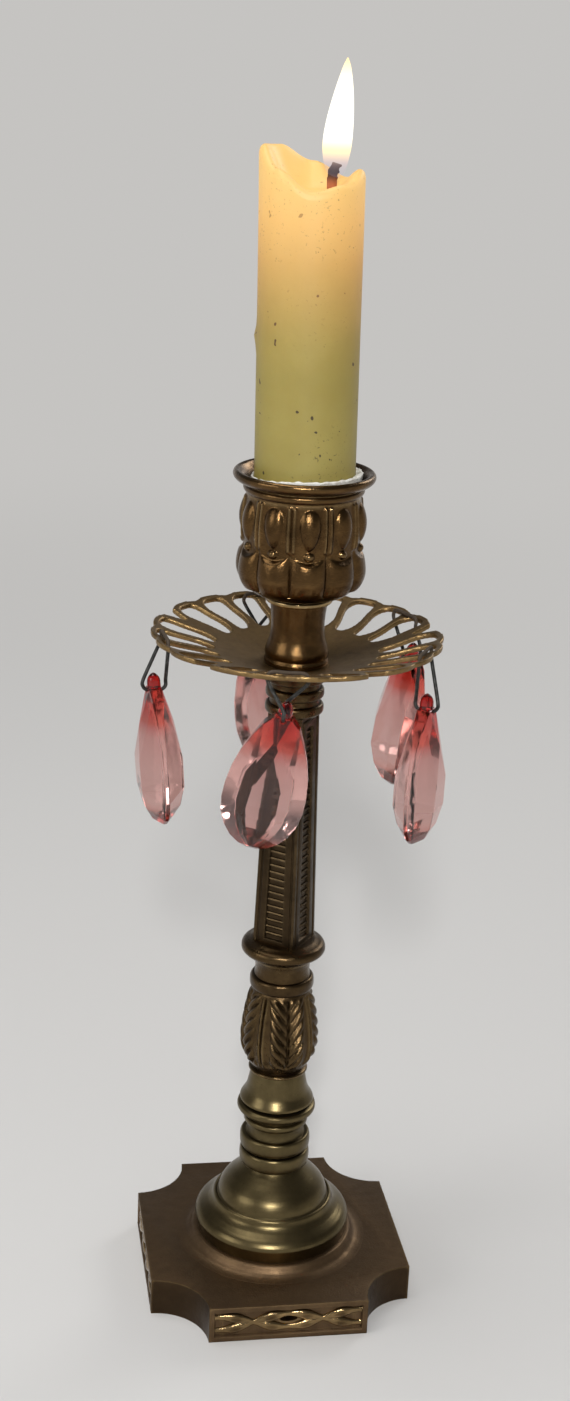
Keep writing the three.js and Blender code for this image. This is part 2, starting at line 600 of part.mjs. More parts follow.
function dripPan() {
  const dish = turned((path) => {
    const past = PAN_RADIUS + GAP;
    path.moveTo(BORE_RADIUS, 0);
    path.lineTo(PAN_SEAT_RADIUS, 0);
    path.lineTo(past, panTop(past) - PAN_THICKNESS);
    path.lineTo(past, panTop(past));
    path.lineTo(PAN_SEAT_RADIUS, PAN_THICKNESS);
    path.lineTo(BORE_RADIUS, PAN_THICKNESS);
    path.closePath();
  });
  const depth = PAN_RISE + 4 * PAN_THICKNESS;
  let solid = toSolid(dish).intersect(toSolid(extruded(panOutline(), depth).translate(0, 0, -PAN_THICKNESS)));
  for (let lobe = 0; lobe < LOBE_COUNT; lobe += 1) {
    for (let petal = 0; petal < PETAL_COUNT; petal += 1) {
      const angle = (lobe * 360) / LOBE_COUNT + (petal - (PETAL_COUNT - 1) / 2) * PETAL_ANGLE;
      const slot = extruded(slotShape(), depth).translate(0, 0, -PAN_THICKNESS);
      solid = solid.subtract(toSolid(slot.rotateZ(degrees(angle))));
    }
  }
  const mesh = piece('drip_pan', 'panBrass', toGeometry(solid));
  mesh.position.z = PAN_Z;
  mesh.rotation.z = degrees(PAN_TURN);
  return mesh;
}

function candleCup() {
  const blindTop = ROD_HOLD + ROD_RADIUS / 2;
  const lipUnder = CUP_HEIGHT - LIP_THICKNESS;
  const bowlUnder = CUP_BOWL_BOTTOM + CUP_BEAD_HEIGHT / 2;
  const waist = (CUP_BOWL_LEVEL + CUP_UPPER_LEVEL) / 2;
  const geometry = turned((path) => {
    path.moveTo(0, blindTop);
    path.lineTo(BORE_RADIUS, blindTop);
    path.lineTo(BORE_RADIUS, 0);
    path.lineTo(CUP_FOOT_RADIUS, 0);
    path.lineTo(CUP_FOOT_RADIUS, CUP_FOOT_HEIGHT);
    path.quadraticCurveTo(CUP_NECK_RADIUS, CUP_NECK_LEVEL / 2, CUP_NECK_RADIUS, CUP_NECK_LEVEL);
    path.lineTo(CUP_BEAD_RADIUS, CUP_BOWL_BOTTOM - CUP_BEAD_HEIGHT);
    path.lineTo(CUP_BEAD_RADIUS, CUP_BOWL_BOTTOM);
    path.quadraticCurveTo(CUP_BOWL_RADIUS, bowlUnder, CUP_BOWL_RADIUS, CUP_BOWL_LEVEL);
    path.quadraticCurveTo(CUP_THROAT_RADIUS, waist, CUP_UPPER_RADIUS, CUP_UPPER_LEVEL);
    path.quadraticCurveTo(CUP_UPPER_RADIUS, CUP_THROAT_LEVEL, CUP_THROAT_RADIUS, CUP_THROAT_LEVEL);
    path.quadraticCurveTo(CUP_THROAT_RADIUS, lipUnder, LIP_RADIUS, lipUnder);
    path.lineTo(LIP_RADIUS, CUP_HEIGHT - LIP_THICKNESS / 3);
    path.lineTo(LIP_RADIUS - LIP_THICKNESS / 3, CUP_HEIGHT);
    path.lineTo(LIP_MOUTH_RADIUS, CUP_HEIGHT - LIP_THICKNESS / 3);
    path.lineTo(SOCKET_RADIUS, CUP_HEIGHT - SOCKET_FLARE);
    path.lineTo(SOCKET_RADIUS, SOCKET_FLOOR);
    path.lineTo(0, SOCKET_FLOOR);
  });
  const skin = (SOCKET_RADIUS + CUP_THROAT_RADIUS) / 2;
  const lobed = swollen(geometry, (angle, radius, z) => {
    if (radius < skin || z < CUP_BOWL_BOTTOM || z > CUP_THROAT_LEVEL) return 0;
    const height = (z - CUP_BOWL_BOTTOM) / (CUP_THROAT_LEVEL - CUP_BOWL_BOTTOM);
    return CUP_LOBE_SWELL * Math.sin(Math.PI * height) * Math.cos(CUP_LOBES * degrees(angle - CUP_LOBE_TURN));
  });
  const mesh = piece('candle_cup', 'cupBrass', closedShell(lobed));
  mesh.position.z = CUP_Z;
  return mesh;
}

function tieRod() {
  const rod = upright(ROD_RADIUS, ROD_RADIUS, ROD_TOP - ROD_END, BORE_SIDES);
  const mesh = piece('tie_rod', 'steel', closedShell(rod));
  mesh.position.z = ROD_END;
  return mesh;
}

function baseWasher() {
  const geometry = turned((path) => {
    path.moveTo(BORE_RADIUS, 0);
    path.lineTo(WASHER_RADIUS, 0);
    path.lineTo(WASHER_RADIUS, WASHER_THICKNESS);
    path.lineTo(BORE_RADIUS, WASHER_THICKNESS);
    path.closePath();
  });
  const mesh = piece('base_washer', 'steel', closedShell(geometry));
  mesh.position.z = PLATE_HEIGHT - PLATE_TOP_WALL - WASHER_THICKNESS;
  return mesh;
}

function baseNut() {
  const corner = NUT_ACROSS_FLATS / Math.sqrt(3);
  const blank = toSolid(upright(corner, corner, NUT_HEIGHT, 6));
  const bore = upright(BORE_RADIUS, BORE_RADIUS, 3 * NUT_HEIGHT, BORE_SIDES).translate(0, 0, -NUT_HEIGHT);
  const mesh = piece('base_nut', 'steel', toGeometry(blank.subtract(toSolid(bore))));
  mesh.position.z = PLATE_HEIGHT - PLATE_TOP_WALL - WASHER_THICKNESS - NUT_HEIGHT;
  return mesh;
}

// The candle's own frame: its foot at the origin, +X towards the side it leans to.
function candleGroup() {
  const group = new THREE.Group();
  group.add(candle(), wick(), candlePacking());
  const mouth = SOCKET_DEPTH - CANDLE_SEAT_GAP;
  const lean = degrees(CANDLE_LEAN);
  const tilted = new THREE.Group();
  tilted.add(group);
  group.position.z = -mouth;
  tilted.position.z = mouth;
  tilted.rotation.y = lean;
  const placed = new THREE.Group();
  placed.add(tilted);
  placed.position.z = CUP_Z + SOCKET_FLOOR + CANDLE_SEAT_GAP;
  placed.rotation.z = degrees(LEAN_TURN);
  return placed;
}

// The melted top: a bowl that is shallow at the wick and climbs to an uneven rim.
function waxRise(angle) {
  const place = ((angle / (2 * Math.PI) + 1) % 1) * RIM_RISES.length;
  const step = Math.floor(place);
  const blend = THREE.MathUtils.smoothstep(place, step, step + 1);
  return THREE.MathUtils.lerp(RIM_RISES[step], RIM_RISES[(step + 1) % RIM_RISES.length], blend);
}

function candle() {
  const ringShares = [1, 0.94, 0.82, 0.62, 0.35];
  const geometry = turned((path) => {
    path.moveTo(0, 0);
    path.lineTo(CANDLE_RADIUS, 0);
    for (const share of ringShares) path.lineTo(CANDLE_RADIUS * share, CANDLE_LENGTH);
    path.lineTo(0, CANDLE_LENGTH);
  });
  const position = geometry.attributes.position;
  for (let i = 0; i < position.count; i += 1) {
    if (position.getZ(i) < CANDLE_LENGTH - WELD) continue;
    const x = position.getX(i);
    const y = position.getY(i);
    const share = Math.hypot(x, y) / CANDLE_RADIUS;
    position.setZ(i, CANDLE_LENGTH + waxRise(Math.atan2(y, x)) * share ** 3);
  }
  const well = upright(WICK_RADIUS + GAP, WICK_RADIUS + GAP, 2 * CANDLE_LENGTH, BORE_SIDES / 2);
  const bored = toSolid(geometry).subtract(toSolid(well.translate(-WICK_OFFSET, 0, WICK_FOOT)));
  return piece('candle', 'wax', toGeometry(bored));
}

function wick() {
  const top = CANDLE_LENGTH + WICK_RISE;
  const points = [
    new THREE.Vector3(-WICK_OFFSET, 0, WICK_FOOT + GAP),
    new THREE.Vector3(-WICK_OFFSET, 0, CANDLE_LENGTH / 2),
    new THREE.Vector3(-WICK_OFFSET, 0, CANDLE_LENGTH),
    new THREE.Vector3(-WICK_OFFSET - WICK_BEND / 4, 0, CANDLE_LENGTH + WICK_RISE / 2),
    new THREE.Vector3(-WICK_OFFSET - WICK_BEND, 0, top),
  ];
  return piece('wick', 'char', closedShell(alongCurve(points, WICK_RADIUS, WIRE_SIDES, WICK_STEPS)));
}

function candlePacking() {
  const top = SOCKET_DEPTH - CANDLE_SEAT_GAP;
  const inner = CANDLE_RADIUS + GAP;
  const outer = inner + PACKING_OVERHANG;
  const foot = inner + PACKING_SHIFT + GAP / 2;
  const block = upright(outer, foot, PACKING_DEPTH, TURN_SIDES).translate(-PACKING_SHIFT, 0, 0);
  const hole = upright(inner, inner, 3 * PACKING_DEPTH, TURN_SIDES).translate(0, 0, -PACKING_DEPTH);
  const mesh = piece('candle_packing', 'paper', toGeometry(toSolid(block).subtract(toSolid(hole))));
  mesh.position.z = top - PACKING_DEPTH;
  return mesh;
}

// A hanger in its own frame: the seat on the spoke at the origin, +Y outwards, +X along the rim.
function dropWire(lobe) {
  const fall = WIRE_DROPS[lobe];
  const reach = WIRE_REACHES[lobe];
  const sway = WIRE_SWAYS[lobe];
  const spread = HANG_RADIUS * Math.sin(degrees(PETAL_ANGLE / 2));
  const bend = 2 * WIRE_RADIUS;
  const clear = HEAD_RADIUS + 2 * GAP + WIRE_RADIUS;
  const point = (x, y, z) => new THREE.Vector3(x, y, z);
  const leg = (side) => {
    const face = side * WIRE_TWISTS[lobe];
    const outwards = reach + face * clear;
    return [
      point(side * (spread - bend), 0, 0),
      point(side * spread, 0, -bend),
      point(side * spread, 0, -WIRE_PLUMB),
      point((sway + side * spread) / 2, outwards / 2, (DROP_HOLE_DEPTH / 2 + GAP - fall - WIRE_PLUMB) / 2),
      point(sway, outwards, DROP_HOLE_DEPTH / 2 + GAP - fall),
      point(sway, outwards, bend - fall),
      point(sway, outwards - face * bend, -fall),
      point(sway, reach + face * WIRE_CLASP, -fall),
    ];
  };
  const points = [...leg(-1).reverse(), point(0, 0, 0), ...leg(1)];
  const wire = alongCurve(points, WIRE_RADIUS, WIRE_SIDES, WIRE_STEPS);
  return piece(`drop_wire_${lobe + 1}`, 'wire', closedShell(wire));
}

// A cut glass drop in its own frame: the hole through its head at the origin, its faces towards +Y and -Y.
function crystalDrop(name) {
  const corners = [];
  for (const level of DROP_LEVELS) {
    const z = DROP_HOLE_DEPTH - level.depth * DROP_LENGTH;
    const x = (level.width * DROP_WIDTH) / 2;
    const y = (level.thickness * DROP_THICKNESS) / 2;
    const table = (level.table * DROP_WIDTH) / 2;
    for (const side of [-1, 1]) {
      corners.push(new THREE.Vector3(side * x, 0, z));
      for (const face of [-1, 1]) {
        corners.push(new THREE.Vector3(side * table, face * y, z));
        corners.push(new THREE.Vector3(GIRDLE_CORNER * side * x, GIRDLE_SLANT * face * y, z));
      }
    }
  }
  const head = turned((path) => {
    const neck = DROP_HOLE_DEPTH - HEAD_DEPTH;
    path.moveTo(0, neck);
    path.lineTo(HEAD_RADIUS, neck);
    path.absarc(0, DROP_HOLE_DEPTH - HEAD_RADIUS, HEAD_RADIUS, 0, Math.PI / 2);
  }, HEAD_SIDES);
  const hole = upright(WIRE_RADIUS + GAP, WIRE_RADIUS + GAP, DROP_WIDTH, BORE_SIDES / 2)
    .translate(0, 0, -DROP_WIDTH / 2)
    .rotateX(Math.PI / 2);
  const cut = toSolid(new ConvexGeometry(corners)).add(toSolid(head)).subtract(toSolid(hole));
  return piece(name, 'glass', toGeometry(cut));
}

function pendants() {
  const group = new THREE.Group();
  for (let lobe = 0; lobe < LOBE_COUNT; lobe += 1) {
    const angle = PAN_TURN + (lobe * 360) / LOBE_COUNT + SPOKE_STEPS[lobe] * PETAL_ANGLE;
    const hanger = new THREE.Group();
    const drop = crystalDrop(`crystal_drop_${lobe + 1}`);
    drop.position.x = WIRE_SWAYS[lobe];
    drop.position.y = WIRE_REACHES[lobe];
    drop.position.z = -WIRE_DROPS[lobe];
    drop.rotation.x = -degrees(DROP_TILTS[lobe]);
    drop.rotation.y = degrees(DROP_LEANS[lobe]);
    hanger.add(dropWire(lobe), drop);
    hanger.position.x = HANG_RADIUS * Math.cos(degrees(angle));
    hanger.position.y = HANG_RADIUS * Math.sin(degrees(angle));
    hanger.position.z = PAN_Z + panTop(HANG_RADIUS + WIRE_RADIUS) + WIRE_RADIUS + GAP;
    hanger.rotation.z = degrees(angle) - Math.PI / 2;
    group.add(hanger);
  }
  return group;
}

const candlestick = new THREE.Group();
candlestick.add(basePlate(), turnedFoot(), stemSpool(), leafBaluster());
candlestick.add(columnCollar(), column(), columnCap(), dripPan(), candleCup());
candlestick.add(tieRod(), baseWasher(), baseNut());
candlestick.add(candleGroup(), pendants());

export default candlestick;
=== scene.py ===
from math import atan2, copysign, cos, degrees, exp, hypot, pi, radians, sin

import bpy
from mathutils import Matrix, Vector


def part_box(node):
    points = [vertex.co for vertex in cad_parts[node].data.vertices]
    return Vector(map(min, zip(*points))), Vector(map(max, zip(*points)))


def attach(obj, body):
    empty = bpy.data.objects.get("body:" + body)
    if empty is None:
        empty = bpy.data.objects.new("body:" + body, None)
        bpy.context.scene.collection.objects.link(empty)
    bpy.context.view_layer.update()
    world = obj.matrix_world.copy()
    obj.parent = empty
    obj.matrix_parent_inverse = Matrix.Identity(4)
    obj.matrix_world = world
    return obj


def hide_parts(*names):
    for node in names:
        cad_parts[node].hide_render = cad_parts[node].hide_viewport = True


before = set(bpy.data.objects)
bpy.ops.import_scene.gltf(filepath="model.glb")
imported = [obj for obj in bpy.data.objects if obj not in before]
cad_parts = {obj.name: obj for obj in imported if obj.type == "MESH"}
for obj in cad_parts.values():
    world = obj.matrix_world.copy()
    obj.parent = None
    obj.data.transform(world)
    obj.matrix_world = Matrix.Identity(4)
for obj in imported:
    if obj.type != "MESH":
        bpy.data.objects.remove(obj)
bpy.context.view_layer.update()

# Units: shapes are drawn in millimetres and degrees, and made in metres.
MM = 0.001
FULL_TURN = 2 * pi
MERGE = 2e-6
SHARP = 0.6  # least angle, in radians, of an edge that a bevel rounds
BORE = 2.8  # radius of the hole that the tie rod passes
QUARTERS = (0, 90, 180, 270)


def floor_of(node):
    """Height of a CAD node's lowest point, in millimetres."""
    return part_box(node)[0][2] / MM


def top_of(node):
    """Height of a CAD node's highest point, in millimetres."""
    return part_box(node)[1][2] / MM


# Base plate
PLATE_WIDTH = (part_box("base_plate")[1][0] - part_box("base_plate")[0][0]) / MM
PLATE_HEIGHT = 9.1
PLATE_WALL = 3
CORNER_HOLLOW = 12.4  # radius of the hollow cut out of each corner
HOLLOW_SIDES = 80
PLATE_EDGE = 0.35
PANEL_BORDER = 1.2
PANEL_SLOPE = 0.3
PANEL_DEPTH = 0.8
BOSS_RADIUS = 23
BOSS_SUNK = 2.5
BOSS_SIDES = 128
RIBBON_THIN = 0.7  # half the width of a panel's ribbon at its crossings
RIBBON_LEAF = 1.35  # and where it swells to a leaf
RIBBON_RISE = 1.75  # height of a ribbon's crest over the panel's middle
RIBBON_LENS = 16.5  # length between two crossings of the ribbons
RIBBON_FLATNESS = 0.66
RIBBON_STEPS = 90
EYE_WIDTH = 4.4
EYE_HEIGHT = 1.7
EYE_RISE = 0.4
EYE_SIDES = 28

# Turned stem
FOOT_SIDES = 160
STEM_SIDES = 128
CAP_SIDES = 96

# Leaf baluster
BALUSTER_FOOT = floor_of("leaf_baluster")
BALUSTER_SIDES = 320
LEAVES = 4
LEAF_TURN = 275
LEAF_START = 3.2
LEAF_STOP = 21.6
LEAF_FADE = 1.2
LEAF_CREST = 2.25  # from the midrib to the plumpest place of a leaf's half
LEAF_HALF = 2.2
LEAF_SUNK = 0.45
RIB_PITCH = 3
RIB_SLANT = 1.15
RIB_HEIGHT = 0.9
MIDRIB_DEPTH = 0.3
CORD_OFFSET = 0.55
CORD_HEIGHT = 0.5

# Column
COLUMN_FOOT = 10.6
COLUMN_HEAD = 8.6
COLUMN_TURN = 52.2
COLUMN_SUNK = 2  # how far the column's foot is let into the collar's dish
COLUMN_EDGE = 0.14
CORNER_BEAD = 0.75
BEAD_GROOVE = 0.3
BEAD_GROOVE_DEPTH = 0.35
FRAME_WIDTH = 1.55
LADDER_DEPTH = 0.75
LADDER_SLOPE = 0.2
LADDER_MARGIN = 4.35
RUNG_PITCH = 1.7
RUNG_HALF = 0.42
RUNGS = 30

# Drip pan
PAN_RADIUS = 32.65
PAN_SEAT = 7.8
PAN_THICKNESS = 1.2
PAN_RISE = 7.3
PAN_TURN = 257.2
PAN_GRAIN = 0.28  # voxel that rounds the casting's bars
PAN_SIDES = 160
LOBES = 5
NOTCH_RADIUS = 26.5
PETALS = 4
PETAL_ANGLE = 16
PETAL_CUSP = 0.9
SLOT_START = 18.4
SLOT_END = 31.2
SPOKE_WIDTH = 1.75
SPOKE_WAVE = 0.45

# Candle cup
CUP_LOBES = 10
CUP_TURN = 268
CUP_SIDES = 320
CUP_FOOT = floor_of("candle_cup")
CUP_INSIDE = 11.75
CUP_BOWL = 13.2  # radius on which the relief is laid out
LONG_DROP_UP = 33.4  # middle of the long drops, over the cup's foot
LONG_DROP_HALF = 4.4
LONG_DROP_WIDTH = 2.3
LONG_DROP_HEIGHT = 1.1
FLUTE_HEIGHT = 0.45
SMALL_BEAD_UP = 27.7
SMALL_BEAD_WIDTH = 1.15
SMALL_BEAD_HEIGHT = 0.9
SCALLOP_UP = 26.2
SCALLOP_RISE = 1.9
ROUND_LOBE_UP = 21.8
ROUND_LOBE_HALF = 6.4
ROUND_LOBE_HEIGHT = 1.75
ROUND_LOBE_SUNK = 0.5

# Candle
CANDLE_RADIUS = 11
CANDLE_LENGTH = 81.2
CANDLE_LEAN = 1.06
CANDLE_LEAN_TOWARDS = 170.2
CANDLE_FOOT = 178.3
CANDLE_EDGE = 1.6
CANDLE_SIDES = 160
CUP_MOUTH = 200.2
RIM_RISES = [8.8, 4.4, 0.3, 1.6, 4.2, 2, 5, 8.4]  # of the melted rim, from its highest place round
DRIP_UP = 50.5
DRIP_HEIGHT = 0.55
GLOW_START = 205  # height from which the flame's glow is painted into the wax
GLOW_LENGTH = 57
PAPER_SIDES = 180

# Wick and flame
WICK_X = -4
WICK_RISE = 5.8
WICK_RADIUS = 0.95
WICK_CHAR = (260.2, 263)  # heights between which the wick turns black
FLAME_FOOT = 261.2
FLAME_LENGTH = 24.5
FLAME_LEAN = 1.5
FLAME_FLATNESS = 0.92
FLAME_SIDES = 64

# Pendants, the lists with one value for each
HANG_RADIUS = 30
HANG_HEIGHT = 163.765
WIRE_RADIUS = 0.42
WIRE_FALLS = [9.6, 13.4, 11.2, 12, 12.4]
WIRE_REACHES = [1.3, 1, 2.6, 0.6, 2.1]
WIRE_SWAYS = [0.4, 0, 0, 0, 0]
WIRE_TWISTS = [1, -1, 1, 1, 1]
WIRE_PLUMB = 2.2
WIRE_CLASP = 0.35
WIRE_RUST = (160.5, 163.2)  # heights between which the wires turn rusty
SPOKE_STEPS = [0, 0, -1, -1, 0]
DROP_LENGTH = 35.5
DROP_WIDTH = 17.8
DROP_THICKNESS = 9.8
DROP_HOLE = 4
DROP_TILTS = [4.5, 1.2, 4.5, 4.5, 4.5]
DROP_LEANS = [-11, 0, 4, -10, 2]
DROP_HEAD = 1.5
DROP_EDGE = 0.12
FACET_ANGLE = 0.12  # least angle, in radians, of a facet's edge
HEAD_SIDES = 24
HOLE_SIDES = 20
HOLE_PLAY = 0.25
# Rings of corners of the cut glass: share of the length, of half the width and of half the thickness
GIRDLE = (
    (0.1, 0.22, 0.3), (0.16, 0.44, 0.26), (0.25, 0.62, 0.16), (0.36, 0.8, 0.1), (0.48, 0.93, 0.09),
    (0.6, 0.995, 0.09), (0.7, 1, 0.09), (0.8, 0.93, 0.09), (0.88, 0.78, 0.09), (0.94, 0.59, 0.08),
    (0.98, 0.36, 0.07), (1, 0.12, 0.05),
)
TABLE = ((0.33, 0, 0.8), (0.55, 0.36, 1), (0.74, 0.4, 0.98), (0.87, 0.26, 0.8), (0.96, 0.06, 0.48))

# Photograph's camera, fitted to the object
IMAGE_HEIGHT = 1401
CAMERA_DISTANCE = 433.37
CAMERA_HEIGHT = 297.67
CAMERA_PITCH = 19.14
CAMERA_YAW = -0.28
CAMERA_ROLL = 2.51
CAMERA_FOCUS = 2039.91  # in pixels of the photograph
OBJECT_TURN = 9.82  # the object's turn in front of the camera
SENSOR = 36
CAMERA_NEAR = 0.01
PAPER_GATHER = -OBJECT_TURN - 8  # angle of the side where the paper ring is fullest

# Stage, in metres and watts
BACKDROP = (0.56, 0.55, 0.535)
CEILING = (0.12, 0.12, 0.12)
FLOOR_SIZE = 40
FLOOR_FADE = (0.25, 0.9)  # distances between which the floor goes over to the backdrop
LAMP_AIM = (0, 0, 0.14)
LAMPS = (  # name, place, size and power
    ("key_lamp", (-0.2, -1.05, 0.75), 0.14, 10.0),
    ("top_lamp", (-0.3, 0.1, 1.6), 1.1, 10.0),
    ("side_lamp", (-1.1, -0.4, 0.6), 0.6, 3.0),
    ("back_lamp", (0.8, 0.7, 0.7), 0.5, 3.0),
)


# Modelling

def begin(add, **settings):
    """Adds a primitive with nothing else selected, and returns it."""
    bpy.ops.object.select_all(action="DESELECT")
    add(**settings)
    return bpy.context.object


def edit_all():
    bpy.ops.object.mode_set(mode="EDIT")
    bpy.ops.mesh.select_mode(type="VERT")
    bpy.ops.mesh.select_all(action="SELECT")


def leave_edit():
    bpy.ops.object.mode_set(mode="OBJECT")


def edit_faces(piece, wanted):
    """Goes into edit mode with the faces selected for which wanted(face) holds."""
    bpy.ops.object.mode_set(mode="EDIT")
    bpy.ops.mesh.select_mode(type="FACE")
    bpy.ops.mesh.select_all(action="DESELECT")
    leave_edit()
    for face in piece.data.polygons:
        face.select = wanted(face)
    bpy.ops.object.mode_set(mode="EDIT")


def make_sound():
    """Merges doubles, turns all faces outwards and leaves edit mode."""
    bpy.ops.mesh.select_mode(type="VERT")
    bpy.ops.mesh.select_all(action="SELECT")
    bpy.ops.mesh.remove_doubles(threshold=MERGE)
    bpy.ops.mesh.normals_make_consistent(inside=False)
    leave_edit()


def pick(piece):
    bpy.ops.object.select_all(action="DESELECT")
    piece.select_set(True)
    bpy.context.view_layer.objects.active = piece


def apply_modifier(piece, kind, **settings):
    modifier = piece.modifiers.new(kind.title(), kind)
    for setting, value in settings.items():
        setattr(modifier, setting, value)
    pick(piece)
    bpy.ops.object.modifier_apply(modifier=modifier.name)


def round_edges(piece, width, segments, least_angle):
    settings = {"limit_method": "ANGLE", "angle_limit": least_angle}
    apply_modifier(piece, "BEVEL", width=width * MM, segments=segments, **settings)


def combine(piece, tool, operation):
    """Cuts or joins piece with tool, and takes the tool away."""
    apply_modifier(piece, "BOOLEAN", object=tool, operation=operation, solver="EXACT")
    bpy.data.objects.remove(tool)


def settle(piece):
    """Moves the object's own place, turn and scale into its mesh."""
    pick(piece)
    bpy.ops.object.transform_apply(location=True, rotation=True, scale=True)


def join(pieces):
    pick(pieces[0])
    for piece in pieces[1:]:
        piece.select_set(True)
    bpy.ops.object.join()
    return pieces[0]


def smooth_by(piece, angle):
    pick(piece)
    bpy.ops.object.shade_smooth_by_angle(angle=radians(angle))


def fit(piece, name, body, finish, nodes=()):
    """Names a finished piece, gives it its finish and sets it on its body."""
    piece.name = name
    piece.data.name = name
    piece.data.materials.clear()
    piece.data.materials.append(finish)
    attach(piece, body)
    if nodes:
        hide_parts(*nodes)


def smooth_line(points, steps=5):
    """A smooth line through the given points."""
    ends = [points[0], *points, points[-1]]
    line = []
    for before, start, stop, after in zip(ends, ends[1:], ends[2:], ends[3:]):
        for step in range(steps):
            t = step / steps
            line.append(tuple(
                b + t * ((c - a) + t * ((2 * a - 5 * b + 4 * c - d) + t * (3 * b - a - 3 * c + d))) / 2
                for a, b, c, d in zip(before, start, stop, after)
            ))
    return line + [tuple(points[-1])]


def bead(radius, low, high, waist):
    """Outline of a rounded ring between two heights."""
    edge = (high - low) / 4
    return smooth_line([
        (waist, low), (radius - 0.4, low + 0.1), (radius, low + edge),
        (radius, high - edge), (radius - 0.4, high - 0.1), (waist, high),
    ], 4)


def draw(points, closed):
    """Draws a line of vertices by extruding one from the last. Ends in edit mode, all selected."""
    piece = begin(bpy.ops.mesh.primitive_plane_add, size=MM)
    edit_all()
    bpy.ops.mesh.merge(type="CENTER")
    stops = [Vector(point) * MM for point in points]
    bpy.ops.transform.translate(value=stops[0])
    if closed:
        stops.append(stops[0])
    for here, there in zip(stops, stops[1:]):
        bpy.ops.mesh.extrude_vertices_move(TRANSFORM_OT_translate={"value": there - here})
    bpy.ops.mesh.select_all(action="SELECT")
    bpy.ops.mesh.remove_doubles(threshold=MERGE)
    return piece


def turn(profile, sides, floor=0, angle=30):
    """Turns a half section of (radius, height) points about the axis, as on a lathe."""
    piece = draw([(radius, 0, floor + height) for radius, height in profile], closed=profile[0][0] > 0)
    bpy.ops.mesh.spin(steps=sides, angle=FULL_TURN, center=(0, 0, 0), axis=(0, 0, 1))
    make_sound()
    smooth_by(piece, angle)
    return piece


def extrude_outline(outline, low, high):
    """A straight-sided solid over an outline."""
    piece = draw([(x, y, low) for x, y in outline], closed=True)
    bpy.ops.mesh.edge_face_add()
    bpy.ops.mesh.extrude_region_move(TRANSFORM_OT_translate={"value": (0, 0, (high - low) * MM)})
    make_sound()
    return piece


def strand(points, radius, sides=10, swells=None):
    """A round wire through the points, as a mesh with closed ends. Swells are shares of the radius."""
    piece = begin(bpy.ops.curve.primitive_nurbs_path_add)
    curve = piece.data
    curve.splines.clear()
    spline = curve.splines.new("POLY")
    spline.points.add(len(points) - 1)
    for point, place, swell in zip(spline.points, points, swells or [1] * len(points)):
        point.co = (*(Vector(place) * MM), 1)
        point.radius = swell
    curve.bevel_depth = radius * MM
    curve.bevel_resolution = sides // 2 - 2
    curve.use_fill_caps = True
    bpy.ops.object.convert(target="MESH")
    piece = bpy.context.object
    settle(piece)
    edit_all()
    make_sound()
    smooth_by(piece, 50)
    return piece


def copy_to(piece, places):
    """Copies a piece to each place, with a mesh of its own, and takes the pattern away."""
    copies = []
    for place in places:
        twin = piece.copy()
        twin.data = piece.data.copy()
        bpy.context.collection.objects.link(twin)
        twin.matrix_world = place
        settle(twin)
        copies.append(twin)
    bpy.data.objects.remove(piece)
    return copies


def about_axis(angle, axis="Z"):
    return Matrix.Rotation(radians(angle), 4, axis)


def copy_round(piece, angles):
    """Repeats a piece round the axis, as one mesh."""
    return join(copy_to(piece, [about_axis(angle) for angle in angles]))


def carve(piece, relief):
    """Moves each vertex outwards by relief(angle in degrees, height, radius), in millimetres."""
    for vertex in piece.data.vertices:
        x, y, z = vertex.co / MM
        radius = hypot(x, y)
        if radius < BORE + 1:
            continue
        swell = 1 + relief(degrees(atan2(y, x)), z, radius) / radius
        vertex.co.x *= swell
        vertex.co.y *= swell
    piece.data.update()


def ease(low, high, value):
    """0 below low, 1 above high and a smooth rise between."""
    share = min(max((value - low) / (high - low), 0), 1)
    return share * share * (3 - 2 * share)


def hump(value, width):
    return exp(-((value / width) ** 2))


# Finishes

class Value:
    """A node's output. Arithmetic on it adds Math nodes."""

    def __init__(self, finish, socket):
        self.finish = finish
        self.socket = socket

    def math(self, operation, *terms):
        return self.finish.add("ShaderNodeMath", {"operation": operation}, dict(enumerate(terms)))

    def __add__(self, other):
        return self.math("ADD", self, other)

    __radd__ = __add__

    def __sub__(self, other):
        return self.math("SUBTRACT", self, other)

    def __rsub__(self, other):
        return self.math("SUBTRACT", other, self)

    def __mul__(self, other):
        return self.math("MULTIPLY", self, other)

    __rmul__ = __mul__

    def __truediv__(self, other):
        return self.math("DIVIDE", self, other)

    def __rtruediv__(self, other):
        return self.math("DIVIDE", other, self)

    def rise(self, low, high):
        """0 below low, 1 above high."""
        settings = {"interpolation_type": "SMOOTHSTEP"}
        sockets = {0: self, 1: low, 2: high, 3: 0.0, 4: 1.0}
        return self.finish.add("ShaderNodeMapRange", settings, sockets)


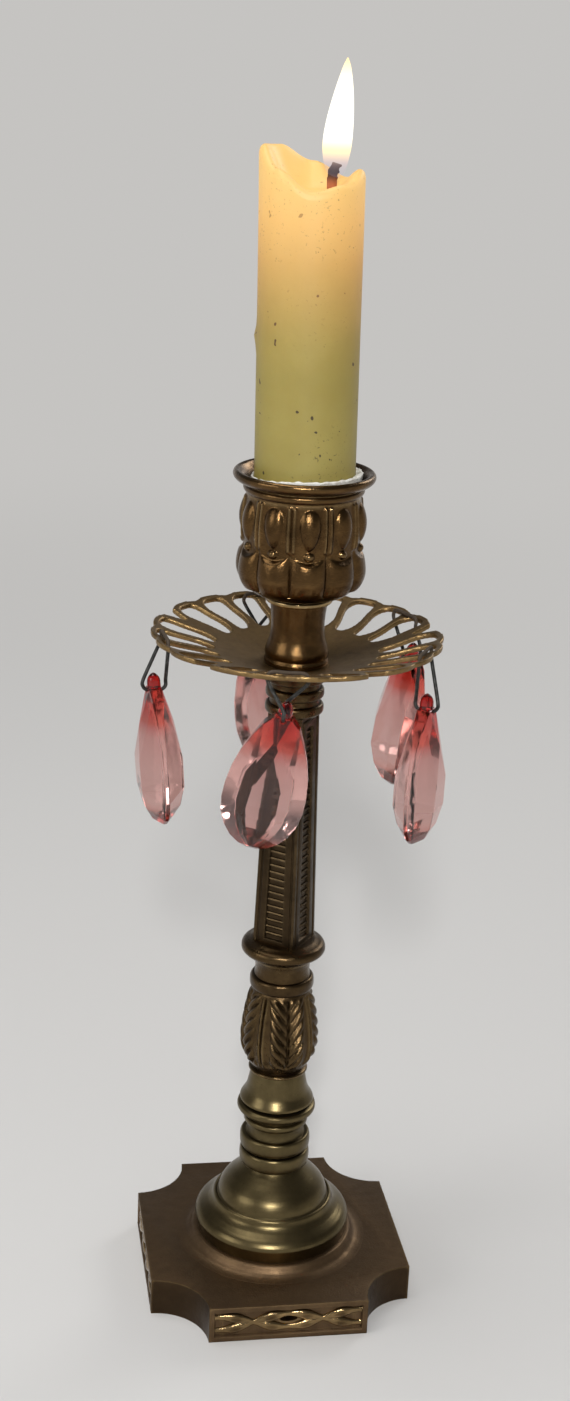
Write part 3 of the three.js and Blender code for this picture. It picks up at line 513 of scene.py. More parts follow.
class Finish:
    """A material on one Principled shader."""

    def __init__(self, name, tree=None):
        if tree is None:
            self.material = bpy.data.materials.new(name)
            self.material.use_nodes = True
            tree = self.material.node_tree
        self.tree = tree
        self.shader = tree.nodes.get("Principled BSDF")

    def add(self, kind, settings=None, sockets=None, out=0):
        """Adds a node: settings first, then its sockets' values or links. Returns one output."""
        node = self.tree.nodes.new(kind)
        for setting, value in (settings or {}).items():
            if setting == "stops":
                self.set_stops(node.color_ramp.elements, value)
            else:
                setattr(node, setting, value)
        for socket, value in (sockets or {}).items():
            self.put(node.inputs[socket], value)
        return Value(self, node.outputs[out])

    def set_stops(self, elements, stops):
        while len(elements) < len(stops):
            elements.new(1)
        for element, (place, colour) in zip(elements, stops):
            element.position = place
            element.color = (*colour, 1)

    def put(self, socket, value):
        if isinstance(value, Value):
            self.tree.links.new(value.socket, socket)
        else:
            socket.default_value = value

    def shade(self, sockets):
        """Sets or links the shader's own sockets."""
        for socket, value in sockets.items():
            self.put(self.shader.inputs[socket], value)

    def place(self):
        return self.add("ShaderNodeTexCoord", out="Object")

    def part(self, vector, axis):
        return self.add("ShaderNodeSeparateXYZ", None, {0: vector}, out=axis)

    def stretch(self, vector, scale):
        return self.add("ShaderNodeMapping", None, {"Vector": vector, "Scale": scale})

    def noise(self, vector, scale, detail=4.0, roughness=0.55):
        sockets = {"Vector": vector, "Scale": scale, "Detail": detail, "Roughness": roughness}
        return self.add("ShaderNodeTexNoise", None, sockets)

    def mix(self, share, first, second):
        """A colour between first and second."""
        sockets = {0: share, 6: self.colour(first), 7: self.colour(second)}
        return self.add("ShaderNodeMix", {"data_type": "RGBA"}, sockets, out=2)

    def colour(self, value):
        return value if isinstance(value, Value) else (*value, 1)

    def ramp(self, value, stops):
        return self.add("ShaderNodeValToRGB", {"stops": stops}, {0: value})

    def shelter(self, reach, inside=False):
        """1 on open faces, less in recesses, or at outer edges where inside is set."""
        settings = {"samples": 8, "inside": inside}
        return self.add("ShaderNodeAmbientOcclusion", settings, {"Distance": reach * MM}, out="AO")

    def vector_math(self, operation, *terms, out=0):
        return self.add("ShaderNodeVectorMath", {"operation": operation}, dict(enumerate(terms)), out)

    def near_corner(self, place):
        """1 on the walls of the hollows cut out of the plate's corners."""
        corner = PLATE_WIDTH / 2 * MM
        quarter = self.vector_math("ABSOLUTE", place)
        flat = self.vector_math("MULTIPLY", quarter, (1, 1, 0))
        away = self.vector_math("DISTANCE", flat, (corner, corner, 0), out="Value")
        return 1 - away.rise((CORNER_HOLLOW + 0.05) * MM, (CORNER_HOLLOW + 0.3) * MM)

    def bump(self, height, depth):
        sockets = {"Strength": 1.0, "Distance": depth * MM, "Height": height}
        return self.add("ShaderNodeBump", None, sockets)


def darker(colour, share):
    return tuple(share * part for part in colour)


def brass(
    name, metal, tarnish, bright, roughness, grime_and_shade=1.0, wear=1.0, ring_marks=False, painted_corner_shade=False
):
    """Old brass: tarnished clouds, recesses darkened by ambient occlusion as grime and painted shade,
    edges and high places worn bright.
    """
    finish = Finish(name)
    place = finish.place()
    clouds = finish.noise(place, 110.0, 6.0, 0.6)
    patches = finish.noise(place, 420.0, 5.0, 0.65)
    specks = finish.noise(place, 2600.0, 3.0, 0.6)
    open_air = finish.shelter(1.8).rise(0.2, 0.72)
    worn = (1 - finish.shelter(0.9, inside=True)).rise(0.16, 0.46)
    age = (clouds * 0.6 + patches * 0.4).rise(0.25, 0.75)
    body = finish.mix(age, tarnish, metal)
    if painted_corner_shade:
        # painted shade and painted dark reflection: the walls of the corner hollows are darkened towards
        # the tarnish
        body = finish.mix(finish.near_corner(place) * 0.75, body, darker(tarnish, 0.3))
    # recesses darken towards a dark tarnish: partly grime, partly painted shade
    grimed_and_shaded = finish.mix((1 - open_air) * grime_and_shade * 0.9, body, darker(tarnish, 0.28))
    dots = (1 - specks.rise(0.28, 0.36)) * 0.55
    dotted = finish.mix(dots, grimed_and_shaded, darker(tarnish, 0.35))
    polished = finish.mix(worn * (0.2 + 0.55 * age) * open_air * wear, dotted, bright)
    if ring_marks:
        marks = finish.noise(finish.stretch(place, (60.0, 60.0, 2600.0)), 1.0, 3.0)
        surface = finish.bump(marks * 0.8 + specks * 0.3 + clouds * 0.3, 0.03)
        dull = roughness + (1 - age) * 0.05 + marks * 0.1 + (1 - open_air) * 0.2
    else:
        surface = finish.bump(specks * 0.5 + patches + clouds * 0.6, 0.09)
        dull = roughness + (1 - age) * 0.14 + (1 - open_air) * 0.25 - worn * 0.08
    finish.shade({
        "Base Color": polished, "Metallic": 1.0, "Roughness": dull, "Normal": surface,
    })
    return finish.material


def make_steel():
    finish = Finish("bolt_steel")
    place = finish.place()
    rust = finish.noise(place, 300.0, 6.0).rise(0.5, 0.66)
    grain = finish.noise(finish.stretch(place, (1.0, 1.0, 0.1)), 2400.0)
    finish.shade({
        "Base Color": finish.mix(rust, (0.34, 0.33, 0.32), (0.13, 0.07, 0.035)),
        "Metallic": 1 - rust * 0.8,
        "Roughness": 0.36 + rust * 0.4,
        "Normal": finish.bump(grain + rust, 0.05),
    })
    return finish.material


def make_wire_finish():
    finish = Finish("dark_wire")
    place = finish.place()
    wear = finish.noise(place, 700.0, 4.0).rise(0.42, 0.66)
    grey = finish.mix(wear, (0.026, 0.026, 0.024), (0.06, 0.059, 0.055))
    rust = finish.part(place, "Z").rise(*(height * MM for height in WIRE_RUST))
    finish.shade({
        "Base Color": finish.mix(rust, grey, (0.062, 0.043, 0.027)),
        "Metallic": 0.6 - rust * 0.5,
        "Roughness": 0.55 - wear * 0.15 + rust * 0.3,
        "Normal": finish.bump(finish.noise(place, 3000.0), 0.03),
    })
    return finish.material


def make_glass():
    """Pink glass, red at the head and warm at the foot."""
    finish = Finish("pink_crystal")
    along = finish.add("ShaderNodeAttribute", {"attribute_name": "along"}, out="Fac")
    clouds = finish.noise(finish.place(), 160.0, 3.0)
    shade = along + (clouds - 0.5) * 0.05
    tint = finish.ramp(shade, [
        (0.0, (0.46, 0.01, 0.008)), (0.16, (0.51, 0.016, 0.012)), (0.29, (0.6, 0.05, 0.033)),
        (0.38, (0.68, 0.32, 0.295)), (0.6, (0.75, 0.43, 0.395)), (0.84, (0.8, 0.46, 0.42)),
        (0.92, (0.8, 0.31, 0.26)), (1.0, (0.78, 0.18, 0.125)),
    ])
    finish.shade({
        "Base Color": tint,
        "Transmission Weight": 1.0,
        "IOR": 1.5,
        "Roughness": 0.06,
        "Normal": finish.bump(clouds, 0.02),
    })
    return finish.material


def make_wax():
    """Olive wax below, with the flame's light painted into it above: a warmer colour and an emission."""
    finish = Finish("olive_wax")
    place = finish.place()
    height = finish.part(place, "Z")
    clouds = finish.noise(place, 60.0, 5.0)
    specks = finish.noise(place, 520.0, 1.0).rise(0.74, 0.76)
    dust = finish.noise(place, 1500.0, 2.0).rise(0.64, 0.69) * clouds.rise(0.48, 0.6) * 0.6
    glow = (height + (clouds - 0.5) * 0.006 - GLOW_START * MM) / (GLOW_LENGTH * MM)
    body = finish.mix(clouds.rise(0.3, 0.7), (0.298, 0.238, 0.056), (0.338, 0.277, 0.073))
    # painted light: towards the top the wax turns warm and emits, standing in for the flame shining
    # through it
    warm = finish.mix(glow.rise(0.35, 1.0), body, (0.42, 0.28, 0.10))
    spotted = finish.mix(specks + dust, warm, (0.045, 0.03, 0.012))
    light = finish.ramp(glow, [
        (0.0, (0.0, 0.0, 0.0)), (0.28, (0.018, 0.007, 0.001)), (0.42, (0.055, 0.018, 0.004)),
        (0.57, (0.16, 0.062, 0.016)), (0.71, (0.31, 0.132, 0.034)), (0.86, (0.5, 0.255, 0.072)),
        (1.0, (0.56, 0.33, 0.10)),
    ])
    finish.shade({
        "Base Color": spotted,
        "Roughness": 0.42 + clouds * 0.15,
        "Subsurface Weight": 0.2,
        "Subsurface Radius": (1.0, 0.6, 0.25),
        "Subsurface Scale": 0.002,
        "Emission Color": light,
        "Emission Strength": 1.0,
        "Normal": finish.bump(finish.noise(place, 240.0, 5.0), 0.12),
    })
    return finish.material


def make_wick_finish():
    finish = Finish("charred_wick")
    place = finish.place()
    char = finish.part(place, "Z").rise(*(height * MM for height in WICK_CHAR))
    twist = finish.noise(finish.stretch(place, (1.0, 1.0, 0.35)), 1800.0)
    finish.shade({
        "Base Color": finish.mix(char, (0.40, 0.13, 0.055), (0.02, 0.014, 0.012)),
        "Roughness": 0.85 + twist * 0.1,
        "Normal": finish.bump(twist, 0.15),
    })
    return finish.material


def make_paper():
    finish = Finish("white_paper")
    place = finish.place()
    creases = finish.noise(place, 520.0, 5.0, 0.65)
    finish.shade({
        "Base Color": finish.mix(creases.rise(0.3, 0.62), (0.52, 0.49, 0.42), (0.86, 0.85, 0.80)),
        "Roughness": 0.75 + creases * 0.2,
        "Normal": finish.bump(creases, 0.4),
    })
    return finish.material


def make_flame_finish():
    """Light of the flame: clear and bluish at its foot, white in its middle, yellow at its tip."""
    finish = Finish("flame_light")
    height = finish.part(finish.place(), "Z")
    share = (height - FLAME_FOOT * MM) / (FLAME_LENGTH * MM)
    light = finish.ramp(share, [
        (0.0, (0.25, 0.24, 0.42)), (0.15, (0.62, 0.44, 0.42)), (0.26, (1.0, 0.78, 0.42)),
        (0.38, (1.0, 0.96, 0.84)), (0.8, (1.0, 0.95, 0.78)), (1.0, (1.0, 0.72, 0.34)),
    ])
    finish.shade({
        "Base Color": (0.0, 0.0, 0.0, 1),
        "Roughness": 1.0,
        "Specular IOR Level": 0.0,
        "Emission Color": light,
        "Emission Strength": 1.6,
        "Alpha": share.rise(0.08, 0.36) * 0.86 + 0.1,
    })
    return finish.material


def make_floor_finish():
    finish = Finish("pale_floor")
    place = finish.place()
    clouds = finish.noise(place, 3.0, 3.0)
    finish.shade({
        "Base Color": finish.mix(clouds, (0.66, 0.65, 0.635), (0.69, 0.68, 0.665)),
        "Roughness": 0.85,
        "Specular IOR Level": 0.15,
    })
    far = finish.vector_math("LENGTH", place, out="Value").rise(*FLOOR_FADE)
    seen = finish.add("ShaderNodeLightPath", out="Is Camera Ray")
    mirrored = finish.add("ShaderNodeLightPath", out="Is Glossy Ray")
    refracted = finish.add("ShaderNodeLightPath", out="Is Transmission Ray")
    plain = finish.add("ShaderNodeEmission", None, {"Color": (*BACKDROP, 1), "Strength": 1.0})
    lit = Value(finish, finish.shader.outputs[0])
    shown = seen + mirrored + refracted
    share = far * shown.math("MINIMUM", shown, 1.0)
    surface = finish.add("ShaderNodeMixShader", None, {0: share, 1: lit, 2: plain})
    finish.put(finish.tree.nodes["Material Output"].inputs["Surface"], surface)
    return finish.material


plate_brass = brass(
    "plate_brass_finish", (0.165, 0.105, 0.056), (0.092, 0.058, 0.032), (0.36, 0.24, 0.11), 0.4,
    grime_and_shade=0.8, wear=0.7, painted_corner_shade=True,
)
# Darker copies of the cast brass for the stem and, darker still, the column: painted shade and painted
# dark reflection
shaded_stem_brass = brass(
    "stem_brass_finish", (0.112, 0.072, 0.032), (0.048, 0.03, 0.015), (0.56, 0.4, 0.18), 0.22, wear=0.3
)
shaded_column_brass = brass(
    "column_brass_finish", (0.066, 0.043, 0.022), (0.03, 0.02, 0.011), (0.36, 0.25, 0.12), 0.25, wear=0.2
)
ornament_brass = brass(
    "ornament_brass_finish", (0.2, 0.128, 0.058), (0.05, 0.031, 0.016), (0.6, 0.42, 0.2), 0.2, wear=0.6
)
turned_brass = brass(
    "turned_brass_finish", (0.148, 0.113, 0.053), (0.086, 0.065, 0.031), (0.56, 0.42, 0.2), 0.24,
    grime_and_shade=0.8, wear=0.6, ring_marks=True,
)
pan_brass = brass(
    "pan_brass_finish", (0.315, 0.2, 0.08), (0.138, 0.087, 0.043), (0.5, 0.345, 0.15), 0.34,
    grime_and_shade=0.7, wear=0.7,
)
cup_brass = brass(
    "cup_brass_finish", (0.155, 0.087, 0.033), (0.056, 0.031, 0.013), (0.84, 0.62, 0.31), 0.16, wear=0.8
)
steel = make_steel()
dark_wire = make_wire_finish()
pink_glass = make_glass()
olive_wax = make_wax()
charred_wick = make_wick_finish()
white_paper = make_paper()
flame_light = make_flame_finish()


# Base

def make_base_casting():
    half = PLATE_WIDTH / 2
    plate = begin(
        bpy.ops.mesh.primitive_cube_add, size=MM, location=(0, 0, PLATE_HEIGHT / 2 * MM),
        scale=(PLATE_WIDTH, PLATE_WIDTH, PLATE_HEIGHT),
    )
    settle(plate)
    corner = begin(
        bpy.ops.mesh.primitive_cylinder_add, vertices=HOLLOW_SIDES, radius=CORNER_HOLLOW * MM,
        depth=3 * PLATE_HEIGHT * MM, location=(half * MM, half * MM, PLATE_HEIGHT / 2 * MM),
        rotation=(0, 0, pi / HOLLOW_SIDES),
    )
    settle(corner)
    combine(plate, copy_round(corner, QUARTERS), "DIFFERENCE")
    edit_all()
    make_sound()
    edit_faces(plate, lambda face: face.normal.z < -0.9)
    bpy.ops.mesh.inset(thickness=PLATE_WALL * MM)
    bpy.ops.mesh.extrude_region_move(
        TRANSFORM_OT_translate={"value": (0, 0, (PLATE_HEIGHT - PLATE_WALL) * MM)}
    )
    leave_edit()
    edit_faces(plate, lambda face: max(abs(face.center.x), abs(face.center.y)) > (half - 0.1) * MM)
    bpy.ops.mesh.inset(thickness=PANEL_BORDER * MM, use_individual=True)
    bpy.ops.mesh.inset(thickness=PANEL_SLOPE * MM, depth=-PANEL_DEPTH * MM, use_individual=True)
    leave_edit()
    eye = begin(
        bpy.ops.mesh.primitive_cylinder_add, vertices=EYE_SIDES, radius=MM / 2,
        depth=2 * PLATE_WIDTH * MM, rotation=(pi / 2, 0, 0),
        location=(0, 0, (PLATE_HEIGHT / 2 + EYE_RISE) * MM), scale=(EYE_WIDTH, EYE_HEIGHT, 1),
    )
    settle(eye)
    for tool in copy_to(eye, [about_axis(0), about_axis(90)]):
        combine(plate, tool, "DIFFERENCE")
    round_edges(plate, PLATE_EDGE, 3, SHARP)
    seat = top_of("base_plate") - PLATE_HEIGHT
    boss = turn([
        (BORE, -BOSS_SUNK), (BOSS_RADIUS, -BOSS_SUNK), (BOSS_RADIUS, -0.05),
        *smooth_line([
            (22.9, 0.02), (22, 0.1), (21, 0.32), (20.3, 0.75), (19.8, 1.4), (19.4, seat - 0.45),
            (18.9, seat - 0.12), (17.6, seat),
        ], 4),
        (BORE, seat),
    ], BOSS_SIDES, PLATE_HEIGHT)
    combine(plate, boss, "UNION")
    smooth_by(plate, 28)
    fit(plate, "base_casting", "stick", plate_brass, ["base_plate"])


def make_base_ornament():
    """Two ribbons that cross in waves along each panel, and swell to leaves between their crossings."""
    depth = -(PLATE_WIDTH / 2 - PANEL_DEPTH)
    end = PLATE_WIDTH / 2 - CORNER_HOLLOW - PANEL_BORDER - PANEL_SLOPE / 2
    pieces = []
    for side in (-1, 1):
        points, swells = [], []
        for step in range(RIBBON_STEPS + 1):
            along = end * (2 * step / RIBBON_STEPS - 1)
            wave = side * cos(pi * along / RIBBON_LENS)
            leaf = sin(2 * pi * along / RIBBON_LENS) ** 2
            points.append((along, 0, RIBBON_RISE * wave))
            swells.append(RIBBON_THIN + (RIBBON_LEAF - RIBBON_THIN) * leaf)
        ribbon = strand(points, 1, 12, swells)
        ribbon.scale.y = RIBBON_FLATNESS
        ribbon.location = Vector((0, depth, PLATE_HEIGHT / 2)) * MM
        settle(ribbon)
        pieces.append(ribbon)
    ornament = copy_round(join(pieces), QUARTERS)
    smooth_by(ornament, 60)
    fit(ornament, "base_ornament", "stick", ornament_brass)


# Turned stem

def make_foot():
    foot = turn([
        (BORE, 0),
        *smooth_line([(18.1, 0), (18.3, 0.9), (18.55, 2.1), (18.8, 3.2)], 4),
        *smooth_line([
            (18.75, 3.4), (18.5, 4.1), (17.8, 5), (16.7, 5.8), (15.6, 6.6), (14.8, 7.5), (14.4, 8.5),
        ], 5),
        *smooth_line([(14.25, 8.75), (13.9, 8.95), (13.6, 8.8)], 4),
        *smooth_line([
            (13.3, 9.1), (13, 10.4), (12.1, 12.1), (10.5, 13.8), (8.8, 15.3), (7.5, 16.5), (6.8, 17.3),
        ], 6),
        (BORE, 17.3),
    ], FOOT_SIDES, floor_of("turned_foot"))
    fit(foot, "foot_turning", "stick", turned_brass, ["turned_foot"])


def make_spool():
    spool = turn([
        (BORE, 0), (6.7, 0), (6.7, 0.4),
        *bead(8.4, 0.4, 4.3, 7.1), (6.9, 4.55),
        *bead(8.4, 4.8, 8.6, 7.1),
        *smooth_line([(6.9, 8.8), (6.75, 9.9), (6.9, 11.2)], 4),
        *bead(7.65, 11.4, 13.2, 7),
        *smooth_line([
            (7, 13.4), (7.3, 13.9), (8, 14.4), (8.9, 14.75), (9.3, 15.2), (9.4, 15.8), (9.2, 16.4),
            (8.6, 16.7),
        ], 4),
        (7.7, 16.9), (7.6, 17.3),
        *smooth_line([
            (8.55, 17.4), (8.8, 17.75), (8.65, 18.3), (8.1, 19.2), (7.55, 20.2), (7.15, 21.5),
            (6.85, 23), (6.5, 24.4), (6.2, 25.3),
        ], 5),
        (BORE, 25.3),
    ], STEM_SIDES, floor_of("stem_spool"))
    fit(spool, "spool_turning", "stick", turned_brass, ["stem_spool"])


def leaf_relief(angle, height, radius):
    """Four leaves: a sunk midrib, raised slanting ribs, and two upright cords between the leaves."""
    step = 360 / LEAVES
    off = abs((angle - LEAF_TURN + step / 2) % step - step / 2)
    across = radians(off) * radius
    border = radians(step / 2) * radius - across
    up = height - BALUSTER_FOOT
    zone = ease(0, LEAF_FADE, up - LEAF_START) * ease(0, LEAF_FADE, LEAF_STOP - up)
    rib = abs(sin(pi * (up - RIB_SLANT * across) / RIB_PITCH)) ** 0.8
    plump = max(1 - ((across - LEAF_CREST) / LEAF_HALF) ** 2, 0) ** 0.5
    leaf = RIB_HEIGHT * rib * plump - MIDRIB_DEPTH * hump(across, 0.3)
    cords = CORD_HEIGHT * hump(border - CORD_OFFSET, 0.36) - 0.2 * hump(border, 0.25)
    return zone * (leaf + cords - LEAF_SUNK)


def make_baluster():
    body = smooth_line([
        (6.15, 1.25), (7.2, 2.7), (8.3, 5), (8.85, 8.1), (8.75, 11), (8.3, 15), (7.55, 19), (6.9, 21.3),
        (6.6, 22),
    ], 14)
    baluster = turn([
        (BORE, 0), *smooth_line([(6.3, 0), (6.95, 0.3), (6.95, 0.8), (6.3, 1.15)], 3), *body,
        *bead(7.5, 22.1, 25.3, 6.6),
        *smooth_line([(6.6, 25.5), (6.4, 26.6), (6.5, 28.4), (7.1, 30)], 5), (BORE, 30),
    ], BALUSTER_SIDES, BALUSTER_FOOT)
    carve(baluster, leaf_relief)
    smooth_by(baluster, 50)
    fit(baluster, "baluster_casting", "stick", shaded_stem_brass, ["leaf_baluster"])


def make_collar():
    collar = turn([
        (BORE, 0), (7.2, 0),
        *smooth_line([
            (7.3, 0.2), (8.1, 0.7), (9.1, 1.25), (9.7, 1.85), (9.86, 2.5), (9.72, 3.15), (9.4, 3.65),
            (8.95, 3.95),
        ], 5),
        *smooth_line([(8.6, 4.05), (8, 4.25), (7.3, 4.55), (6.6, 4.7)], 3),
        (BORE, 4.7),
    ], STEM_SIDES, floor_of("column_collar"))
    fit(collar, "collar_turning", "stick", shaded_stem_brass, ["column_collar"])


def make_rungs(low, foot, lean):
    """The ladder of one face, on the side towards -Y, and its copies on the other three."""
    first = low + LADDER_MARGIN
    half = foot / 2 - lean * LADDER_MARGIN
    reach = half - CORNER_BEAD - 2 * BEAD_GROOVE - FRAME_WIDTH
    depth = LADDER_DEPTH - half
    ladder = strand([(-reach, depth, first), (reach, depth, first)], RUNG_HALF, 8)
    shorter = 1 - lean * RUNG_PITCH / reach
    edit_all()
    for _ in range(RUNGS - 1):
        step = Vector((0, lean * RUNG_PITCH, RUNG_PITCH)) * MM
        bpy.ops.mesh.duplicate_move(TRANSFORM_OT_translate={"value": step})
        bpy.ops.transform.resize(value=(shorter, 1, 1), center_override=(0, 0, 0))
    leave_edit()
    return copy_round(ladder, QUARTERS)


def make_column():
    low, high = floor_of("column"), top_of("column")
    lean = (COLUMN_FOOT - COLUMN_HEAD) / 2 / (high - low)
    low -= COLUMN_SUNK
    foot = COLUMN_FOOT + 2 * lean * COLUMN_SUNK
    column = begin(
        bpy.ops.mesh.primitive_cube_add, size=MM, location=(0, 0, (low + high) / 2 * MM),
        scale=(foot, foot, high - low),
    )
    settle(column)
    edit_faces(column, lambda face: face.normal.z > 0.9)
    share = COLUMN_HEAD / foot
    bpy.ops.transform.resize(value=(share, share, 1), center_override=(0, 0, high * MM))
    leave_edit()
    edit_faces(column, lambda face: abs(face.normal.z) < 0.5)
    for width, depth in (
        (CORNER_BEAD, 0), (BEAD_GROOVE / 2, -BEAD_GROOVE_DEPTH), (BEAD_GROOVE, 0),
        (BEAD_GROOVE / 2, BEAD_GROOVE_DEPTH), (FRAME_WIDTH, 0), (LADDER_SLOPE, -LADDER_DEPTH),
    ):
        bpy.ops.mesh.inset(thickness=width * MM, depth=depth * MM, use_individual=True)
    leave_edit()
    round_edges(column, COLUMN_EDGE, 2, SHARP)
    column = join([column, make_rungs(low, foot, lean)])
    column.rotation_euler.z = radians(COLUMN_TURN)
    settle(column)
    smooth_by(column, 40)
    fit(column, "column_casting", "stick", shaded_column_brass, ["column"])


def make_cap():
    cap = turn([
        (BORE, 0), (5.7, 0),
        *bead(6.6, 0.1, 2.5, 5.7), (5.6, 2.7), (5.6, 3.6),
        *bead(6.6, 3.8, 6.2, 5.7), (5.6, 6.4), (5.6, 7.3),
        *bead(6.9, 7.5, 10, 5.9), (7.2, 10.5), (BORE, 10.5),
    ], CAP_SIDES, floor_of("column_cap"))
    fit(cap, "cap_turning", "stick", shaded_stem_brass, ["column_cap"])


# Pan and cup

def pan_outline():
    """Rim of the pan from above: petals with cusps between, and a deep notch between lobes."""
    lobe_angle = 360 / LOBES
    lobe_end = PETALS * PETAL_ANGLE / 2
    outline = []
    for lobe in range(LOBES):
        turned = PAN_TURN + lobe * lobe_angle
        for step in range(PETALS * 8 + 1):
            angle = step * PETAL_ANGLE / 8 - lobe_end
            bulge = abs(sin(pi * angle / PETAL_ANGLE)) ** 0.7
            outline.append((PAN_RADIUS - PETAL_CUSP * (1 - bulge), turned + angle))
        outline.append((NOTCH_RADIUS, turned + lobe_angle / 2))
    return [on_circle(radius, angle) for radius, angle in outline]


def on_circle(radius, angle):
    return radius * cos(radians(angle)), radius * sin(radians(angle))


def slot_outline():
    """The slot towards +X, narrower towards the dish, its sides gently waved."""
    middle = (SLOT_START + SLOT_END) / 2
    half_length = (SLOT_END - SLOT_START) / 2
    outline = []
    for step in range(60):
        way = radians(step * 360 / 60)
        along = copysign(abs(cos(way)) ** 0.6, cos(way))
        across = copysign(abs(sin(way)) ** 0.6, sin(way))
        radius = middle + half_length * along
        half_width = radius * sin(radians(PETAL_ANGLE / 2)) - SPOKE_WIDTH / 2
        side = across * half_width + SPOKE_WAVE * sin(pi * along)
        outline.append((radius, side))
    return outline


def make_pan():
    low = floor_of("drip_pan")
    past = PAN_RADIUS + 1
    slope = PAN_RISE / (PAN_RADIUS - PAN_SEAT)

    def climb(radius):
        return slope * (radius - PAN_SEAT)

    rings = [PAN_SEAT + (past - PAN_SEAT) * step / 12 for step in range(13)]
    pan = turn([
        (BORE, 0), *((radius, climb(radius)) for radius in rings),
        *((radius, climb(radius) + PAN_THICKNESS) for radius in reversed(rings)), (BORE, PAN_THICKNESS),
    ], PAN_SIDES, low)
    over, under = low + PAN_RISE + 5, low - 3
    combine(pan, extrude_outline(pan_outline(), under, over), "INTERSECT")
    slot_angles = [
        PAN_TURN + lobe * 360 / LOBES + (petal - (PETALS - 1) / 2) * PETAL_ANGLE
        for lobe in range(LOBES) for petal in range(PETALS)
    ]
    combine(pan, copy_round(extrude_outline(slot_outline(), under, over), slot_angles), "DIFFERENCE")
    apply_modifier(pan, "REMESH", mode="VOXEL", voxel_size=PAN_GRAIN * MM)
    apply_modifier(pan, "SMOOTH", factor=0.5, iterations=5)
    smooth_by(pan, 70)
    fit(pan, "pan_casting", "stick", pan_brass, ["drip_pan"])


def cup_relief(angle, height, radius):
    """Long drops between flutes above, round lobes with scalloped tops below."""
    if radius < CUP_INSIDE + 0.15:
        return 0
    step = 360 / CUP_LOBES
    off = abs((angle - CUP_TURN + step / 2) % step - step / 2)
    across = radians(off) * CUP_BOWL
    edge = radians(step / 2) * CUP_BOWL
    up = height - CUP_FOOT
    upper = ease(27.8, 28.8, up) * (1 - ease(37.8, 38.8, up))
    level = (up - LONG_DROP_UP) / LONG_DROP_HALF
    width = LONG_DROP_WIDTH * (1 + 0.26 * level)
    drop = LONG_DROP_HEIGHT * max(1 - (across / width) ** 2 - level ** 2, 0) ** 0.7
    flutes = FLUTE_HEIGHT * hump(across - edge + 0.62, 0.4) - 0.06 * hump(across - edge, 0.3)
    round_off = max(1 - (across / SMALL_BEAD_WIDTH) ** 2 - (up - SMALL_BEAD_UP) ** 2, 0)
    small_bead = SMALL_BEAD_HEIGHT * round_off ** 0.6
    scallop = SCALLOP_UP + SCALLOP_RISE * (across / edge) ** 2
    lower = (1 - ease(scallop - 0.7, scallop + 0.25, up)) * ease(15.8, 18.4, up)
    dome = max(1 - ((up - ROUND_LOBE_UP) / ROUND_LOBE_HALF) ** 2, 0) ** 0.5
    arch = max(1 - (across / (edge + 0.1)) ** 2, 0) ** 0.65
    lobe = ROUND_LOBE_HEIGHT * arch * dome - ROUND_LOBE_SUNK
    return upper * (drop + flutes) + small_bead + lower * lobe


def make_cup():
    cup = turn([
        (0, 21.4), (CUP_INSIDE, 21.4), (CUP_INSIDE, 38.6),
        *smooth_line([
            (CUP_INSIDE, 39.2), (12.2, 40.6), (13, 42.2), (13.9, 43.4), (14.7, 43.8), (15.3, 43.55),
            (15.57, 42.9), (15.35, 42.2), (14.7, 41.6), (13.8, 41.2), (13, 40.9),
        ], 5),
        *smooth_line([(12.9, 40.7), (13.2, 40.35), (13.25, 39.8), (13, 39.3), (12.6, 39)], 4),
        *smooth_line([
            (12.5, 38.6), (12.75, 36.4), (13.05, 33.4), (13.05, 30.4), (12.85, 28.2), (12.9, 26.6),
            (13.15, 24.4), (13.2, 21.8), (12.75, 19.8), (11.8, 18), (10.4, 16.8), (8.6, 16.1),
        ], 14),
        (7, 15.95),
        *bead(7.4, 14.3, 15.7, 6.6),
        *smooth_line([
            (6.4, 14), (6.1, 12), (5.93, 9.6), (5.98, 7.8), (6.25, 6), (6.7, 4.6), (7.05, 3.5),
            (7.15, 2.6), (6.95, 1.85),
        ], 5),
        *smooth_line([(7.05, 1.5), (7.25, 1.1), (7.25, 0.5), (7.1, 0)], 3),
        (0, 0),
    ], CUP_SIDES, CUP_FOOT)
    carve(cup, cup_relief)
    smooth_by(cup, 50)
    fit(cup, "cup_casting", "stick", cup_brass, ["candle_cup"])


# Candle

def candle_place():
    """Where the candle stands: leaning about the cup's mouth."""
    mouth = (CUP_MOUTH - CANDLE_FOOT) * MM
    return (
        Matrix.Translation((0, 0, CANDLE_FOOT * MM))
        @ about_axis(CANDLE_LEAN_TOWARDS)
        @ Matrix.Translation((0, 0, mouth))
        @ about_axis(CANDLE_LEAN, "Y")
        @ Matrix.Translation((0, 0, -mouth))
    )


def rim_rise(angle):
    """Rise of the melted rim, blended between its evenly spaced heights."""
    count = len(RIM_RISES)
    step, share = divmod(angle / 360 * count, 1)
    first, second = RIM_RISES[int(step) % count], RIM_RISES[(int(step) + 1) % count]
    return first + (second - first) * ease(0, 1, share)


